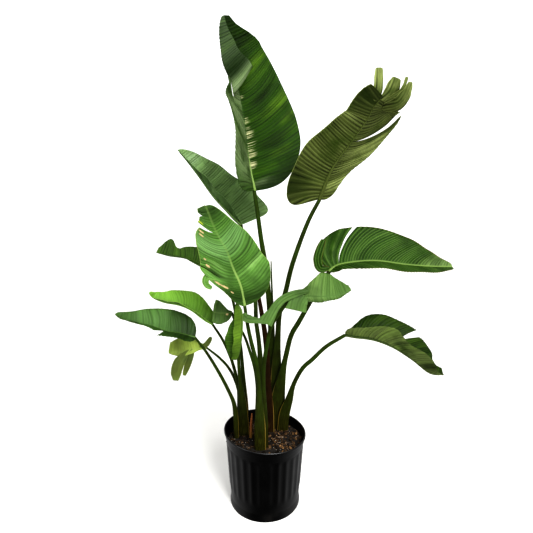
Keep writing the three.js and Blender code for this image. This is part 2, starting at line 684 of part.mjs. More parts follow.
function pot() {
  const { wall, floor, height, lipRadius, baseRadius, foot, bandBottom } = POT;
  const { fluteTop, fluteBottom } = POT;
  const bandRadius = sideRadius(bandBottom) + POT.setBack - POT.bandSetBack;
  const neckRadius = lipRadius - POT.lipOverhang;
  const outside = [
    [0, 0],
    [baseRadius, 0],
    [baseRadius, foot],
    [sideRadius(foot), foot + 3],
    [sideRadius(fluteBottom), fluteBottom],
    [sideRadius(fluteBottom), fluteBottom + 4],
    [sideRadius(fluteTop), fluteTop],
    [bandRadius, bandBottom],
    [neckRadius, height - POT.lipHeight],
    [lipRadius, height - POT.lipHeight + 4],
    [lipRadius - 1, height],
  ];
  const inside = [
    [lipRadius - 4, height],
    [neckRadius - wall, height - POT.lipHeight],
    [bandRadius - wall, bandBottom],
    [sideRadius(fluteTop) - wall, fluteTop],
    [sideRadius(fluteBottom) - wall, fluteBottom + 4],
    [sideRadius(foot) - wall, floor],
    [0, floor],
  ];
  const profile = [...outside, ...inside].map(([r, z]) => new THREE.Vector2(r, z));
  const geometry = new THREE.LatheGeometry(profile, POT.flutes * 2);
  geometry.rotateX(Math.PI / 2);
  const position = geometry.attributes.position;
  const pitch = Math.PI / POT.flutes;
  for (let i = 0; i < position.count; i++) {
    const [x, y, z] = [position.getX(i), position.getY(i), position.getZ(i)];
    const column = Math.round(Math.atan2(y, x) / pitch);
    const fluted = z > fluteBottom + 1 && z < bandBottom - 1 && column % 2 !== 0;
    const grow = fluted ? 1 + POT.fluteDepth / Math.hypot(x, y) : 1;
    const rise = clamp(z / height, 0, 1) ** 2;
    position.setXYZ(i, x * grow, y * grow, z - POT.lean * x * rise);
  }
  let solid = toManifold(geometry);
  for (let i = 0; i < HEEL_HOLES.count; i++) {
    const angle = -Math.PI / 2 + (i * 2 * Math.PI) / HEEL_HOLES.count;
    const drill = new THREE.CylinderGeometry(HEEL_HOLES.radius, HEEL_HOLES.radius, 20, 8);
    drill.rotateZ(Math.PI / 2);
    drill.translate(baseRadius - 5, 0, 0);
    drill.rotateZ(angle);
    drill.translate(0, 0, HEEL_HOLES.height);
    solid = solid.subtract(toManifold(drill));
  }
  return toGeometry(solid);
}

function pottingMix(sockets) {
  const { wall, floor, fluteTop, fluteBottom } = POT;
  const inner = (z) => sideRadius(z) - wall - SOIL.gap;
  const profile = [
    [0, floor + 0.3],
    [inner(floor) - 0.4, floor + 0.3],
    [inner(fluteBottom) - 0.2, fluteBottom + 4],
    [inner(fluteTop) - 1, fluteTop - 8],
    [inner(fluteTop) - 1.2, SOIL.top - SOIL.crown],
    [SOIL.crownRadius, SOIL.top - 1],
    [0, SOIL.top],
  ].map(([r, z]) => new THREE.Vector2(r, z));
  const geometry = new THREE.LatheGeometry(profile, POT.flutes * 2);
  geometry.rotateX(Math.PI / 2);
  let solid = toManifold(geometry);
  for (const socket of sockets) solid = solid.subtract(toManifold(socket));
  return toGeometry(solid);
}

// ---------------------------------------------------------------- assembly

const plant = new THREE.Group();

function addPiece(name, geometry, colour, roughness) {
  const material = new THREE.MeshStandardMaterial({ color: colour, roughness, metalness: 0 });
  const mesh = new THREE.Mesh(geometry, material);
  mesh.name = name;
  plant.add(mesh);
}

const sockets = [];

// The stalk stops a little short of its blade, and goes down into the mix.
// Returns the room it takes up beside its blade.
function addStalk(name, stalk, colour) {
  const [end, next] = vectors(stalk.route.slice(0, 2));
  const start = end.lerp(next, STALK_CLEAR / end.distanceTo(next)).toArray();
  const trimmed = { ...stalk, route: [start, ...stalk.route.slice(1)] };
  addPiece(name, rod(trimmed), colour, 0.5);
  sockets.push(rod(trimmed, SOCKET_GAP));
  return rod(trimmed, SIDE_CLEAR);
}

for (const [name, leaf] of Object.entries(LEAVES)) {
  const stalk = addStalk(name + '_stalk', leaf.stalk, COLOURS.stalk);
  addPiece(name + '_blade', blade(leaf, stalk), leaf.colour, 0.45);
}
for (const [name, shoot] of Object.entries(SHOOTS)) addStalk(name, shoot, shoot.colour);

addPiece('pot', pot(), COLOURS.potPlastic, 0.4);
addPiece('potting_mix', pottingMix(sockets), COLOURS.soil, 0.95);

export default plant;
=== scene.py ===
"""Potted bird of paradise: thirteen pleated leaves on sheathing stalks, a rolled new leaf, a dried
stalk and a dead stub, in bark mix in a soft black nursery pot. Tables are in millimetres."""
import functools
import math
from types import SimpleNamespace

import bpy
import numpy as np
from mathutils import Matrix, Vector, noise


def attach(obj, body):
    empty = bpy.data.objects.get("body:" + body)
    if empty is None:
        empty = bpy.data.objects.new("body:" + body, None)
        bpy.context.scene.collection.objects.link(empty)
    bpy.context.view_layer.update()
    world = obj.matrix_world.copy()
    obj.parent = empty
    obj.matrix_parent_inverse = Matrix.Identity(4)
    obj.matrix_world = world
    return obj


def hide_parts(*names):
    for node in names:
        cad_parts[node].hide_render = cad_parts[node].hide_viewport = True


bl_info = {
    "name": "Potted Bird of Paradise",
    "version": (1, 0, 0),
    "blender": (4, 5, 0),
    "location": "3D View > Sidebar > House Plant",
    "description": "Builds a potted bird of paradise leaf by leaf",
    "category": "Add Mesh",
}

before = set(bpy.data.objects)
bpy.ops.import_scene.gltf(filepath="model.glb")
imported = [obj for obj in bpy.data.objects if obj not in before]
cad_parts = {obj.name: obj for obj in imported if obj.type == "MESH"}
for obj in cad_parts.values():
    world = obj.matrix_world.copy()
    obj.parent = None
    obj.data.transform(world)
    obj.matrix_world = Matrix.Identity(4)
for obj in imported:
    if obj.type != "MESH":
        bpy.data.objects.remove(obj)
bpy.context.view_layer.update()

MM = 0.001
FRONT = np.array([0.0, -1.0, 0.0])
ROLL_WIDTH = 0.2  # share of a blade's width over which a half folds over
NECK = 4  # half width of a blade where it starts, mm
MIDRIB_DEPTH = 1.2  # how far the midrib stands out under a blade at its base, mm

# sheaths: where a stalk starts to widen and over how much of its length, as shares; half the
# thickness; how far the soft edges spread past the stiff middle; height of the raised edge
SHEATH = SimpleNamespace(start=0.5, reach=0.3, depth=6, spread=1.12, edge=0.9)
STALK_SWELL = 1.1  # how much stouter a stalk is at its middle, at each side

# centre: radius of the small open middle. hollow, ring: the raised middle of the underside and
# the ring it rests on. set_back: how far the fluted wall stands back from the lip and the foot.
# lean: how far the soft rim sags to one side.
POT = SimpleNamespace(
    height=235, lip_radius=127, base_radius=110, wall=1.6, floor=2.4, centre=0.5, hollow=1.2,
    ring=6, ring_slope=2, foot=7, foot_slope=16, band_bottom=205, band_inset=4, flute_top=198,
    flute_bottom=45, flutes=28, set_back=3.6, band_set_back=2, lip_height=9, lip_overhang=2.5,
    lean=0.07, oval=0.0022)
HEEL_HOLES = SimpleNamespace(count=6, radius=5, height=18, inset=5, reach=12)

# top, radius: the mix at the pot's middle and where it meets the wall. crown: how much lower it
# is at the wall. lumps: (waves per mm, height, layer of noise). clear: gap to the pot's wall.
# side: heights of its rings below the top. bits, fibres: how far from the middle these lie.
# fibre_ends: how far from the middle a fibre may reach.
MIX = SimpleNamespace(top=205, radius=118, crown=4, sunk=1.5, clear=0.4, side=(190, 120, 49, 3),
                      bits=115, fibres=110, fibre_ends=114,
                      lumps=((0.03, 2.2, 4), (0.16, 1.0, 9)))


def tear(at, deep, gap, before=0, after=0, reach=0.08):
    """A tear along a vein: where it is, how near the midrib it starts, how far it gapes at the
    margin, and how much the blade droops before and after it, in degrees."""
    return {"at": at, "deep": deep, "gap": gap, "before": before, "after": after, "reach": reach}


# rib: the midrib from the stalk to the tip. face: the way the upper face looks, at equal steps.
# left and right are the halves as seen from above with the tip away: half is the widest place
# and peak where it lies, outline the share of it at equal steps, fold and curl how far the half
# rises at the midrib and out to its margin, in degrees. strips: pieces torn off along the veins.
# stalk: its route from blade to mix, and its half width at the tip, the base and the sheath.
LEAVES = {
    # The tallest, upright, its left half folded forward over the midrib towards the tip.
    "top": dict(
        rib=[[-30, 30, 970], [-45, 45, 1050], [-60, 60, 1170], [-75, 60, 1260], [-100, 50, 1355],
            [-110, 20, 1440]],
        face=[[0.15, -1, 0.12], [0.15, -1, 0.12], [0.2, -1, 0.1], [0.3, -1, 0]],
        left=dict(half=150, peak=0.14, base_power=2.6, lobe=0.1, tip_power=1.75, tip_ease=0.5,
            sweep=0.14, fold=[66, 73, 70, 44, 6, 6], curl=[0, 0, 0, 6, 0, 0], roll=[0, 0, 0, 120,
            165, 160], roll_at=[0.46, 0.46, 0.46, 0.35, 0.37, 0.5],
            tears=[tear(0.54, 0.3, 0.03, -70, 0, 0.07)]),
        right=dict(half=158, peak=0.3, base_power=1.9, lobe=0.08, sweep=0.16, outline=[1, 1, 1, 1,
            0.96, 0.88, 0.79, 0.7, 0.62, 0.53, 0.0], fold=[14, 14, 10, 8], curl=[-10, -10, -8, 10]),
        stalk=dict(route=[[-30, 30, 970], [-20, 35, 900], [-10, 40, 825], [1, 44, 758],
            [11, 50, 667], [21, 64, 520], [25, 78, 398], [25, 85, 290], [25, 89, 160]], tip=6.2,
            base=11, sheath=16)),
    # Leaning to the front and right, underside seen, frayed into fingers at the tip.
    "upper_right": dict(
        rib=[[155, -10, 945], [170, -25, 995], [190, -40, 1040], [235, -75, 1105],
            [260, -100, 1145], [274, -122, 1176], [292, -133, 1193]],
        face=[[-0.25, 0.8, 0.45], [-0.3, 0.75, 0.5], [-0.3, 0.7, 0.6]],
        left=dict(half=106, peak=0.14, outline=[0.33, 0.38, 0.45, 0.56, 0.71, 0.86, 0.95, 1.05,
            1.16, 0.98, 0.8], tip_width=72, sweep=0.29, lobe=0.06, fold=[12, 15, 15], curl=[-10,
            -10], tears=[tear(0.58, 0.1, 0.035, 0, 4, 0.06)]),
        right=dict(half=102, peak=0.18, base_power=2, outline=[1, 1.03, 1.02, 1.02, 1, 0.92, 0.83,
            0.74, 0.65, 0.58, 0.46], tip_width=38, sweep=0.06, lobe=0.36, fold=[14, 14, 15],
            curl=[-10, -10]),
        strips=[
            dict(rib=[[274, -129, 1184], [278, -134, 1209], [276, -142, 1258]],
                face=[[-0.3, 0.9, 0.2]], left=dict(half=13, outline=[0.5, 0.9, 1, 1, 0.9, 0.55],
                tip_width=6), right=dict(half=13, outline=[0.5, 0.9, 1, 1, 0.9, 0.55],
                tip_width=6)),
            dict(rib=[[289, -129, 1184], [306, -140, 1200], [318, -150, 1232]],
                face=[[-0.3, 0.9, 0.2]], left=dict(half=20, outline=[0.5, 0.8, 1, 1, 0.85, 0.5],
                tip_width=8), right=dict(half=19, outline=[0.7, 0.8, 0.9, 1, 0.9, 0.5],
                tip_width=8)),
            dict(rib=[[294, -128, 1182], [331, -148, 1205], [340, -155, 1233]],
                face=[[-0.3, 0.9, 0.2]], left=dict(half=6, outline=[1, 1, 1, 0.7, 0.1]),
                right=dict(half=6, outline=[1, 1, 1, 0.7, 0.1])),
            dict(rib=[[297, -103, 1173], [331, -128, 1178], [343, -142, 1195], [350, -154, 1222]],
                face=[[-0.3, 0.8, 0.4]], left=dict(half=20, outline=[0.8, 1, 1, 0.7, 0.1]),
                right=dict(half=24, outline=[0.8, 1, 0.9, 0.65, 0.1]))],
        stalk=dict(route=[[155, -10, 945], [125, -5, 885], [80, 5, 755], [61, 22, 667],
            [45, 36, 604], [40, 50, 525], [37, 58, 453], [36, 68, 332], [38, 75, 160]], tip=5.8,
            base=9.5, sheath=18)),
    # At the back, grey-green, a deep trough seen from its near side.
    "upper_left": dict(
        rib=[[-75, 120, 865], [-115, 140, 905], [-165, 160, 955], [-215, 175, 1020],
            [-255, 185, 1070], [-285, 190, 1105]],
        face=[[0.55, -0.45, 0.7], [0.5, -0.5, 0.7], [0.4, -0.5, 0.7]],
        left=dict(half=58, peak=0.05, outline=[0.15, 0.3, 0.6, 0.9, 0.75, 0.85, 0.85, 0.5, 0.25,
            0.15, 0.05], fold=[62, 60, 58], curl=[0, 0]),
        right=dict(half=132, peak=0.22, base_power=4.5, lobe=0.08, tip_power=1.25, tip_ease=0.62,
            sweep=0.08, fold=[30, 30, 25], curl=[-15, -10]),
        stalk=dict(route=[[-75, 120, 865], [-55, 95, 750], [-30, 60, 640], [-26, 26, 575],
            [-18, 4, 525], [-13, -12, 467], [-11, -24, 393], [-9, -30, 160]], tip=5.3, base=7,
            sheath=15)),
    # In front, its pleated upper face to the viewer, the left margin torn.
    "front": dict(
        rib=[[-55, -85, 655], [-65, -100, 715], [-85, -105, 765], [-100, -110, 810],
            [-125, -120, 860], [-150, -135, 930]],
        face=[[0.1, -0.9, 0.35], [0.1, -0.9, 0.3], [0.05, -0.9, 0.2]],
        left=dict(half=84, peak=0.5, base_power=1.15, outline=[1, 1, 0.92, 0.88, 0.97, 1, 0.92,
            0.81, 0.7, 0.57, 0.2], sweep=0.31, fold=[15, 15], curl=[-12, -12],
            tears=[tear(0.27, 0.5, 0.03, -8, 0), tear(0.745, 0.25, 0.05), tear(0.9, 0.7, 0.04)]),
        right=dict(half=96, peak=0.3, base_power=1.4, tip_power=1.05, tip_ease=0.5, sweep=0.15,
            fold=[12, 12]),
        strips=[
            dict(rib=[[-128, -124, 741], [-150, -129, 745], [-156, -131, 734], [-152, -131, 722],
                [-139, -130, 714]], face=[[0.1, -0.9, 0.3]], left=dict(half=10, sweep=0),
                right=dict(half=9, sweep=0))],
        stalk=dict(route=[[-55, -85, 655], [-48, -82, 602], [-38, -75, 547], [-24, -67, 484],
            [-17, -61, 420], [-13, -56, 160]], tip=4.8, base=7.5, sheath=15.5)),
    # Behind the front leaf, pointing back and left.
    "back_left": dict(
        rib=[[-120, 60, 700], [-165, 85, 725], [-210, 105, 745], [-260, 120, 760], [-310, 130, 765],
            [-355, 140, 775]],
        face=[[-0.1, -0.6, 0.8], [-0.1, -0.6, 0.8]],
        left=dict(half=66, fold=[52, 52], curl=[0, 0]),
        right=dict(half=66, outline=[0.5, 0.6, 0.7, 0.78, 0.8, 0.78, 0.74, 0.66, 0.52, 0.34, 0.88,
            0.85, 0.1], peak=0.2, sweep=0.06, fold=[25, 25], curl=[0, 0]),
        stalk=dict(route=[[-120, 60, 700], [-100, 58, 636], [-82, 54, 530], [-73, 54, 445],
            [-70, 57, 372], [-67, 61, 160]], tip=4, base=6, sheath=13)),
    # Long and level to the right, split twice near its base.
    "right": dict(
        rib=[[185, -25, 740], [205, -20, 755], [245, -20, 765], [320, -20, 770], [405, -25, 760],
            [480, -30, 755], [535, -35, 755]],
        face=[[-0.1, -0.55, 0.85], [0, -0.6, 0.8], [0.05, -0.6, 0.8]],
        left=dict(half=112, peak=0.17, base_power=1.7, lobe=0, tip_power=1.7, tip_ease=0.5,
            sweep=0.3, fold=[30, 32, 32], curl=[-10, -10], tears=[tear(0.1035, 0.06, 0.03)]),
        right=dict(half=92, peak=0.3, tip_power=2.1, tip_ease=0.45, fold=[42, 42, 45],
            curl=[-18, -20, -25]),
        strips=[
            dict(rib=[[185, -22, 749], [160, -28, 750], [151, -30, 775], [158, -28, 809],
                [168, -22, 833]], face=[[0, -0.9, 0.4]], left=dict(half=13, outline=[0.8, 1, 1, 0.8,
                0.3], sweep=0), right=dict(half=13, outline=[0.8, 1, 1, 0.8, 0.3], sweep=0))],
        stalk=dict(route=[[185, -25, 740], [155, -20, 690], [101, -2, 583], [80, 12, 538],
            [66, 28, 471], [53, 42, 396], [42, 54, 311], [38, 62, 160]], tip=6, base=9, sheath=21)),
    # Torn and drooping, at the centre right.
    "torn": dict(
        rib=[[65, -75, 665], [92, -83, 679], [122, -92, 685], [156, -98, 685], [196, -103, 690],
            [233, -105, 706]],
        face=[[-0.2, -0.5, 0.85], [0, -0.5, 0.85], [0.1, -0.5, 0.85]],
        left=dict(half=78, outline=[0.15, 0.15, 0.2, 0.32, 0.68, 1, 1.03, 0.93, 0.8, 0.55, 0.05],
            sweep=0.05, fold=[20, 20], curl=[-10, -10]),
        right=dict(half=24, peak=0.4, sweep=0.05, fold=[-25, -30], curl=[-100, -110]),
        strips=[
            dict(rib=[[122, -82, 696], [89, -87, 690], [53, -90, 675], [32, -94, 654],
                [19, -98, 631], [6, -101, 607]], face=[[-0.1, -0.7, 0.7], [-0.1, -0.9, 0.4]],
                left=dict(half=16, outline=[0.5, 0.6, 0.6, 0.65, 1], tip_width=16, sweep=0),
                right=dict(half=28, outline=[0.3, 0.32, 0.36, 0.45, 1], tip_width=28, sweep=0)),
            dict(rib=[[4, -100, 611], [-21, -101, 615], [-40, -100, 615], [-56, -97, 620],
                [-64, -95, 633]], face=[[-0.1, -0.9, 0.4]], left=dict(half=6, outline=[0.8, 1, 1,
                1], tip_width=4, sweep=0), right=dict(half=17, outline=[0.2, 0.25, 0.6, 1, 1, 0.8],
                tip_width=10, sweep=0)),
            dict(rib=[[109, -89, 685], [97, -93, 665], [92, -96, 643]], face=[[-0.1, -0.9, 0.3]],
                left=dict(half=23, outline=[0.8, 0.9, 1], tip_width=22, sweep=0),
                right=dict(half=38, outline=[0.6, 0.75, 1], tip_width=38, sweep=0))],
        stalk=dict(route=[[65, -75, 665], [47, -71, 639], [19, -62, 590], [6, -54, 530],
            [-3, -48, 467], [-5, -45, 393], [-4, -43, 160]], tip=4.8, base=7, sheath=13)),
    # Low on the right, arching over, a trough seen from its near side.
    "lower_right": dict(
        rib=[[240, -10, 545], [270, -20, 545], [320, -30, 540], [375, -40, 520], [430, -50, 485],
            [485, -55, 443], [520, -60, 440]],
        face=[[0.1, -0.35, 0.9], [0.2, -0.35, 0.9], [0.4, -0.35, 0.8]],
        left=dict(half=90, sweep=0.16, fold=[34, 40, 28], curl=[-15, -15], outline=[0.3, 0.62, 0.9,
            1, 1, 0.98, 0.93, 0.86, 0.76, 0.64, 0.15], tears=[tear(0.46, 0.25, 0.08, 8, -14)]),
        right=dict(half=72, peak=0.16, outline=[0.5, 0.5, 0.6, 0.92, 1, 0.66, 0.6, 0.68, 0.68, 0.5,
            0.05], fold=[78, 78, 62], curl=[0, 0]),
        stalk=dict(route=[[240, -10, 545], [185, 0, 505], [145, 10, 460], [118, 22, 428],
            [92, 32, 373], [76, 41, 311], [63, 46, 264], [54, 49, 160]], tip=5.2, base=7,
            sheath=16)),
    "left": dict(
        rib=[[-155, -15, 580], [-185, -15, 600], [-215, -20, 625], [-250, -20, 640],
            [-295, -25, 650], [-325, -30, 665], [-335, -35, 680]],
        face=[[0.1, -0.5, 0.85], [0, -0.5, 0.85]],
        left=dict(half=52, fold=[62, 66], curl=[-20, -20]),
        right=dict(half=52, peak=0.42, fold=[35, 35], curl=[-20, -20]),
        stalk=dict(route=[[-155, -15, 580], [-127, -4, 528], [-105, 8, 469], [-90, 20, 405],
            [-80, 30, 330], [-73, 35, 160]], tip=3.5, base=5.5, sheath=12)),
    "lower_left": dict(
        rib=[[-200, -60, 555], [-240, -70, 570], [-275, -80, 580], [-310, -85, 595],
            [-350, -90, 605], [-385, -100, 620], [-410, -100, 635]],
        face=[[0.15, -0.45, 0.85], [0, -0.5, 0.85]],
        left=dict(half=60, fold=[28, 46, 60, 60], curl=[-10, -20],
            tears=[tear(0.38, 0.3, 0.06, -16, 0)]),
        right=dict(half=66, peak=0.3, tip_ease=0.7, fold=[38, 38], curl=[-20, -20]),
        stalk=dict(route=[[-200, -60, 555], [-174, -42, 508], [-141, -22, 438], [-110, -6, 363],
            [-95, 2, 315], [-89, 8, 160]], tip=3.5, base=5.5, sheath=7.5)),
    # Small, olive, torn into lobes.
    "lobed": dict(
        rib=[[-180, 20, 495], [-206, 18, 493], [-230, 14, 489], [-260, 10, 484], [-294, 6, 487]],
        face=[[0, -0.5, 0.85], [0, -0.7, 0.6]],
        left=dict(half=14, outline=[0.2, 0.3, 0.6, 1, 1, 0.7, 0.1], fold=[-10, -20], curl=[-10,
            -20], tears=[tear(0.6, 0.15, 0.08)]),
        right=dict(half=50, outline=[0.15, 0.45, 0.8, 1, 0.98, 0.85, 0.5], tip_width=4, sweep=0.05,
            fold=[12, 12], curl=[-15, -15]),
        strips=[
            dict(rib=[[-233, 14, 488], [-250, 3, 469], [-263, -4, 445], [-272, -6, 399]],
                face=[[0.2, -1, 0.1]], left=dict(half=15, outline=[0.5, 0.8, 1, 1, 0.8, 0.3],
                tip_width=5, sweep=0), right=dict(half=20, outline=[0.3, 0.6, 1, 1, 0.9, 0.3],
                tip_width=6, sweep=0)),
            dict(rib=[[-221, 16, 490], [-230, 9, 462], [-240, 7, 434], [-249, 6, 410]],
                face=[[0.2, -1, 0.1]], left=dict(half=9, outline=[0.6, 1, 1, 1, 0.7, 0.1], sweep=0),
                right=dict(half=14, outline=[0.6, 1, 1, 0.7, 0.5, 0.1], sweep=0)),
            dict(rib=[[-200, 21, 496], [-180, 21, 506], [-165, 25, 527]], face=[[0, -0.9, 0.3]],
                left=dict(half=9, outline=[0.3, 0.5, 0.8, 0.7, 0.1], sweep=0), right=dict(half=9,
                outline=[0.6, 1, 1, 0.7, 0.1], sweep=0))],
        stalk=dict(route=[[-180, 20, 495], [-140, 24, 459], [-112, 34, 420], [-92, 42, 372],
            [-79, 46, 309], [-72, 48, 160]], tip=3, base=5.5, sheath=11)),
    # Folded along its midrib and hanging straight down.
    "hanging": dict(
        rib=[[-76, -84, 660], [-66, -96, 640], [-63, -104, 603], [-65, -106, 563], [-70, -104, 528],
            [-79, -100, 503]],
        face=[[-1, -0.3, 0.1], [-1, -0.2, 0]],
        left=dict(half=26, outline=[0.7, 0.9, 1, 1, 1, 0.95, 0.9, 0.6], tip_width=8, sweep=0.03,
            fold=[74, 74], curl=[-4, -4]),
        right=dict(half=44, outline=[0.2, 0.3, 0.5, 0.85, 1, 1, 0.85, 0.4], tip_width=8, sweep=0.03,
            fold=[70, 70], curl=[4, 4]),
        stalk=dict(route=[[-76, -82, 662], [-84, -66, 632], [-82, -46, 572], [-79, -20, 486],
            [-77, 2, 400], [-70, 16, 317], [-64, 22, 160]], tip=3.5, base=5.5, sheath=14)),
    "small": dict(
        rib=[[-95, -30, 620], [-110, -35, 620], [-130, -35, 620], [-150, -40, 625]],
        face=[[0.1, -0.8, 0.5], [0, -0.8, 0.4]],
        left=dict(half=34, outline=[0.3, 0.7, 0.95, 1, 0.8], tip_width=14, sweep=0, lobe=0,
            fold=[10, 10], curl=[-10, -10]),
        right=dict(half=36, outline=[0.1, 0.25, 0.7, 1, 1], tip_width=20, sweep=0, lobe=0, fold=[10,
            10], curl=[-10, -10]),
        stalk=dict(route=[[-95, -30, 620], [-90, -32, 601], [-62, -26, 552], [-44, -18, 495],
            [-31, -13, 446], [-22, -11, 374], [-19, -15, 160]], tip=3, base=6.2, sheath=11)),
}

# Pieces with no blade: the rolled new leaf, a cut and dried stalk, and a dead stub.
SHOOTS = {
    "rolled_leaf": dict(tip=1.6, base=9, sheath=9, route=[[19, 40, 761], [22, 52, 666],
        [27, 80, 516], [30, 98, 374], [30, 103, 160]]),
    "dried_stalk": dict(tip=6.5, base=13, sheath=17, route=[[-17, 8, 655], [-9, 10, 608],
        [0, 14, 550], [6, 18, 497], [9, 24, 427], [11, 33, 322], [13, 38, 160]]),
    "dead_stub": dict(tip=2.6, base=5, sheath=5, route=[[-40, 4, 285], [-43, 5, 249],
        [-45, 6, 160]]),
}

HALF = dict(half=60, peak=0.36, base_power=1.8, tip_power=1.3, tip_ease=0.6, outline=None,
            sweep=0.1, lobe=0.04, fold=[15, 15], curl=[-12, -12], roll=[0], roll_at=[0.4],
            tip_width=1.5, tears=[])


def marks(side, kind, *places):
    """Marks of one kind on one half: how far along, how far across, and the radius in mm."""
    return [(side, *place, kind) for place in places]


# dark, light and bloom marks are painted shade, painted light and a smooth painted sheen (painted
# shade on the lobed leaf's strips); pale, yellow and dry marks are the leaf's own
MARK_KINDS = ("dark", "light", "bloom", "pale", "yellow", "dry")
SOFT_MARKS = ("dark", "light", "bloom")

# upper, under: leaf colours, partly the leaf's own and partly painted light and shade, as each
# leaf's are set lighter or darker by how it is lit. The kinds of mark are dry for dead tissue,
# yellow for ageing, pale for cream streaks beside the midrib, light for painted light, dark for
# painted shade, and bloom for a smooth painted sheen, which on the lobed leaf's strips is a
# painted shade. light, bloom: their colours. rim: colour of the margin. midrib, end: how pale the
# midrib is at the base and at the tip. reach, band: how far along that goes, and its width.
# stripe: strength of all stripes; ridge, lines, thin: of the pleats, their crests and the paler
# groups, where the pleat stripes and crest lines are partly painted light and shade.
LOOK = dict(light=None, bloom=None, rim=None, end=0.2, reach=0.6, band=1.0, stripe=1.0,
            ridge=0.05, thin=0.25, lines=0.1, shine=0.2, glow=None, marks=(), strip_marks=())
# Each leaf's upper and under colours are set lighter or darker by how brightly it is lit, so they
# hold painted light and shade as well as the leaf's own colour
LOOKS = {
    "top": dict(
        upper="2B4C08", under="48593C", bloom="7E9068", light="5C7C1C", midrib=1.0, end=0.0,
        reach=0.3, band=1.5,
        marks=marks("right", "dark", (1.0, 0.3, 80), (0.86, 0.3, 40), (0.02, 0.95, 45),
                    (0.5, 0.5, 16), (0.24, 0.5, 20))
        + marks("right", "light", (0.4, 0.8, 22), (0.68, 0.6, 24), (0.17, 0.6, 14), (0.3, 0.9, 12))
        + marks("right", "bloom", (0.04, 0.3, 14)) + marks("left", "dark", (0.68, 0.5, 40))
        + marks("left", "bloom", (0.15, 0.5, 70), (0.38, 0.4, 60), (0.55, 0.3, 50))
        + marks("right", "pale", (0.56, 0.03, 6), *(
            (0.13 + 0.03 * k, 0.05, radius)
            for k, radius in enumerate((9, 15, 8, 18, 13, 21, 11, 17, 9, 12, 7))))),
    "upper_right": dict(
        upper="435815", under="475024", light="A0AC6C", rim="8C9656", midrib=0.0, end=0.0,
        stripe=1.1, ridge=0.16, thin=0.1, lines=0.13,
        strip_marks=marks("both", "light", (0.9, 0.5, 60)),
        marks=marks("right", "dark", (0.95, 0.5, 40), (0.12, 0.95, 26))
        + marks("left", "light", (0.28, 0.95, 30), (0.12, 0.9, 22), (0.45, 0.8, 30))
        + marks("right", "light", (0.75, 0.8, 14))),
    "upper_left": dict(
        upper="7C9A62", under="3E5A28", midrib=0.3, rim="7E9A66", light="9AB48C", thin=0.1,
        marks=marks("right", "light", (0.85, 0.2, 30))),
    "front": dict(
        upper="4E7430", under="5F8652", bloom="70965A", light="8AAE68", rim="8FA45C",
        midrib=1.0, end=0.25, stripe=1.1, band=1.5,
        marks=marks("left", "dry", (0.69, 0.86, 6), (0.64, 0.84, 5), (0.37, 0.88, 4),
                    (0.3, 0.8, 6), (0.2, 0.72, 7), (0.18, 0.58, 8), (0.13, 0.5, 5))
        + marks("left", "yellow", (0.78, 0.92, 8)) + marks("right", "light", (0.3, 0.75, 14))
        + marks("left", "light", (0.53, 0.75, 22), (0.36, 0.6, 10))
        + marks("left", "dark", (0.28, 0.6, 9), (0.1, 0.2, 26), (0.97, 0.4, 34))
        + marks("right", "dark", (0.97, 0.4, 50), (0.08, 0.5, 26))
        + marks("right", "bloom", (0.6, 0.4, 40)) + marks("left", "bloom", (0.55, 0.5, 44))),
    "back_left": dict(upper="3E5A20", under="42602A", midrib=0.2),
    "right": dict(
        upper="33511A", under="6F9448", bloom="6C844E", light="8CA45E", rim="6E5A2C",
        midrib=0.9, end=0.8, band=2.2, thin=0.1, ridge=0.2, shine=0.12, stripe=0.7, lines=0.2,
        marks=marks("left", "light", (0.97, 0.4, 90)) + marks("left", "bloom", (0.93, 0.5, 70))),
    "torn": dict(upper="58763E", under="6C8C46", light="86A060", midrib=0.0, end=0.0, stripe=0.5,
                 marks=marks("both", "light", (0.2, 0.5, 80))),
    "lower_right": dict(upper="1C3206", under="606E3E", midrib=0.1, end=0.1,
                        marks=marks("right", "dark", (0.78, 0.8, 22))),
    "left": dict(upper="7CAA44", under="5C8434", midrib=0.2, rim="9ABA60", stripe=0.5,
                 marks=marks("right", "dark", (0.1, 0.6, 24))),
    "lower_left": dict(upper="466630", under="3E5C1C", light="5C8044", midrib=0.2, stripe=0.5,
                       marks=marks("right", "dark", (0.05, 0.3, 80))
                       + marks("left", "dark", (0.1, 0.6, 90))
                       + marks("right", "light", (0.6, 0.5, 60))),
    "lobed": dict(upper="90A050", under="545E34", bloom="2E3A1C", glow=0.14, midrib=0.2,
                  stripe=0.6, strip_marks=marks("both", "bloom", (0.5, 0.5, 90))
                  + marks("both", "dark", (0.65, 0.5, 24)),
                  marks=marks("right", "dry", (0.04, 0.5, 10))),
    "hanging": dict(upper="3C5C18", under="5E7A2A", midrib=0.2, stripe=0.35,
                    marks=marks("left", "light", (0.6, 0.6, 16))),
    "small": dict(upper="465F30", under="5E7A50", midrib=0.2, stripe=0.6,
                  marks=marks("left", "dry", (0.27, 0.15, 5))),
}
SLOTS = {"upper_left": "grey_leaf", "small": "grey_leaf", "upper_right": "olive_leaf",
         "lobed": "olive_leaf"}


# ------------------------------------------------------------------ settings

def linear(code):
    """A linear colour from an sRGB hex code."""
    parts = [int(code[i:i + 2], 16) / 255 for i in (0, 2, 4)]
    return tuple(c / 12.92 if c <= 0.04045 else ((c + 0.055) / 1.055) ** 2.4 for c in parts)


def colour_setting(name, description, code):
    return bpy.props.FloatVectorProperty(
        name=name, description=description, default=linear(code), subtype="COLOR", size=3,
        min=0, max=1)


def size_setting(name, description, size, least, most):
    """A length, from millimetres."""
    return bpy.props.FloatProperty(
        name=name, description=description, default=size * MM, min=least * MM, max=most * MM,
        subtype="DISTANCE", unit="LENGTH")


def count_setting(name, description, count, most):
    return bpy.props.IntProperty(
        name=name, description=description, default=count, min=0, max=most)


def strength_setting(name, description, strength, most, **kind):
    return bpy.props.FloatProperty(
        name=name, description=description, default=strength, min=0, max=most, **kind)


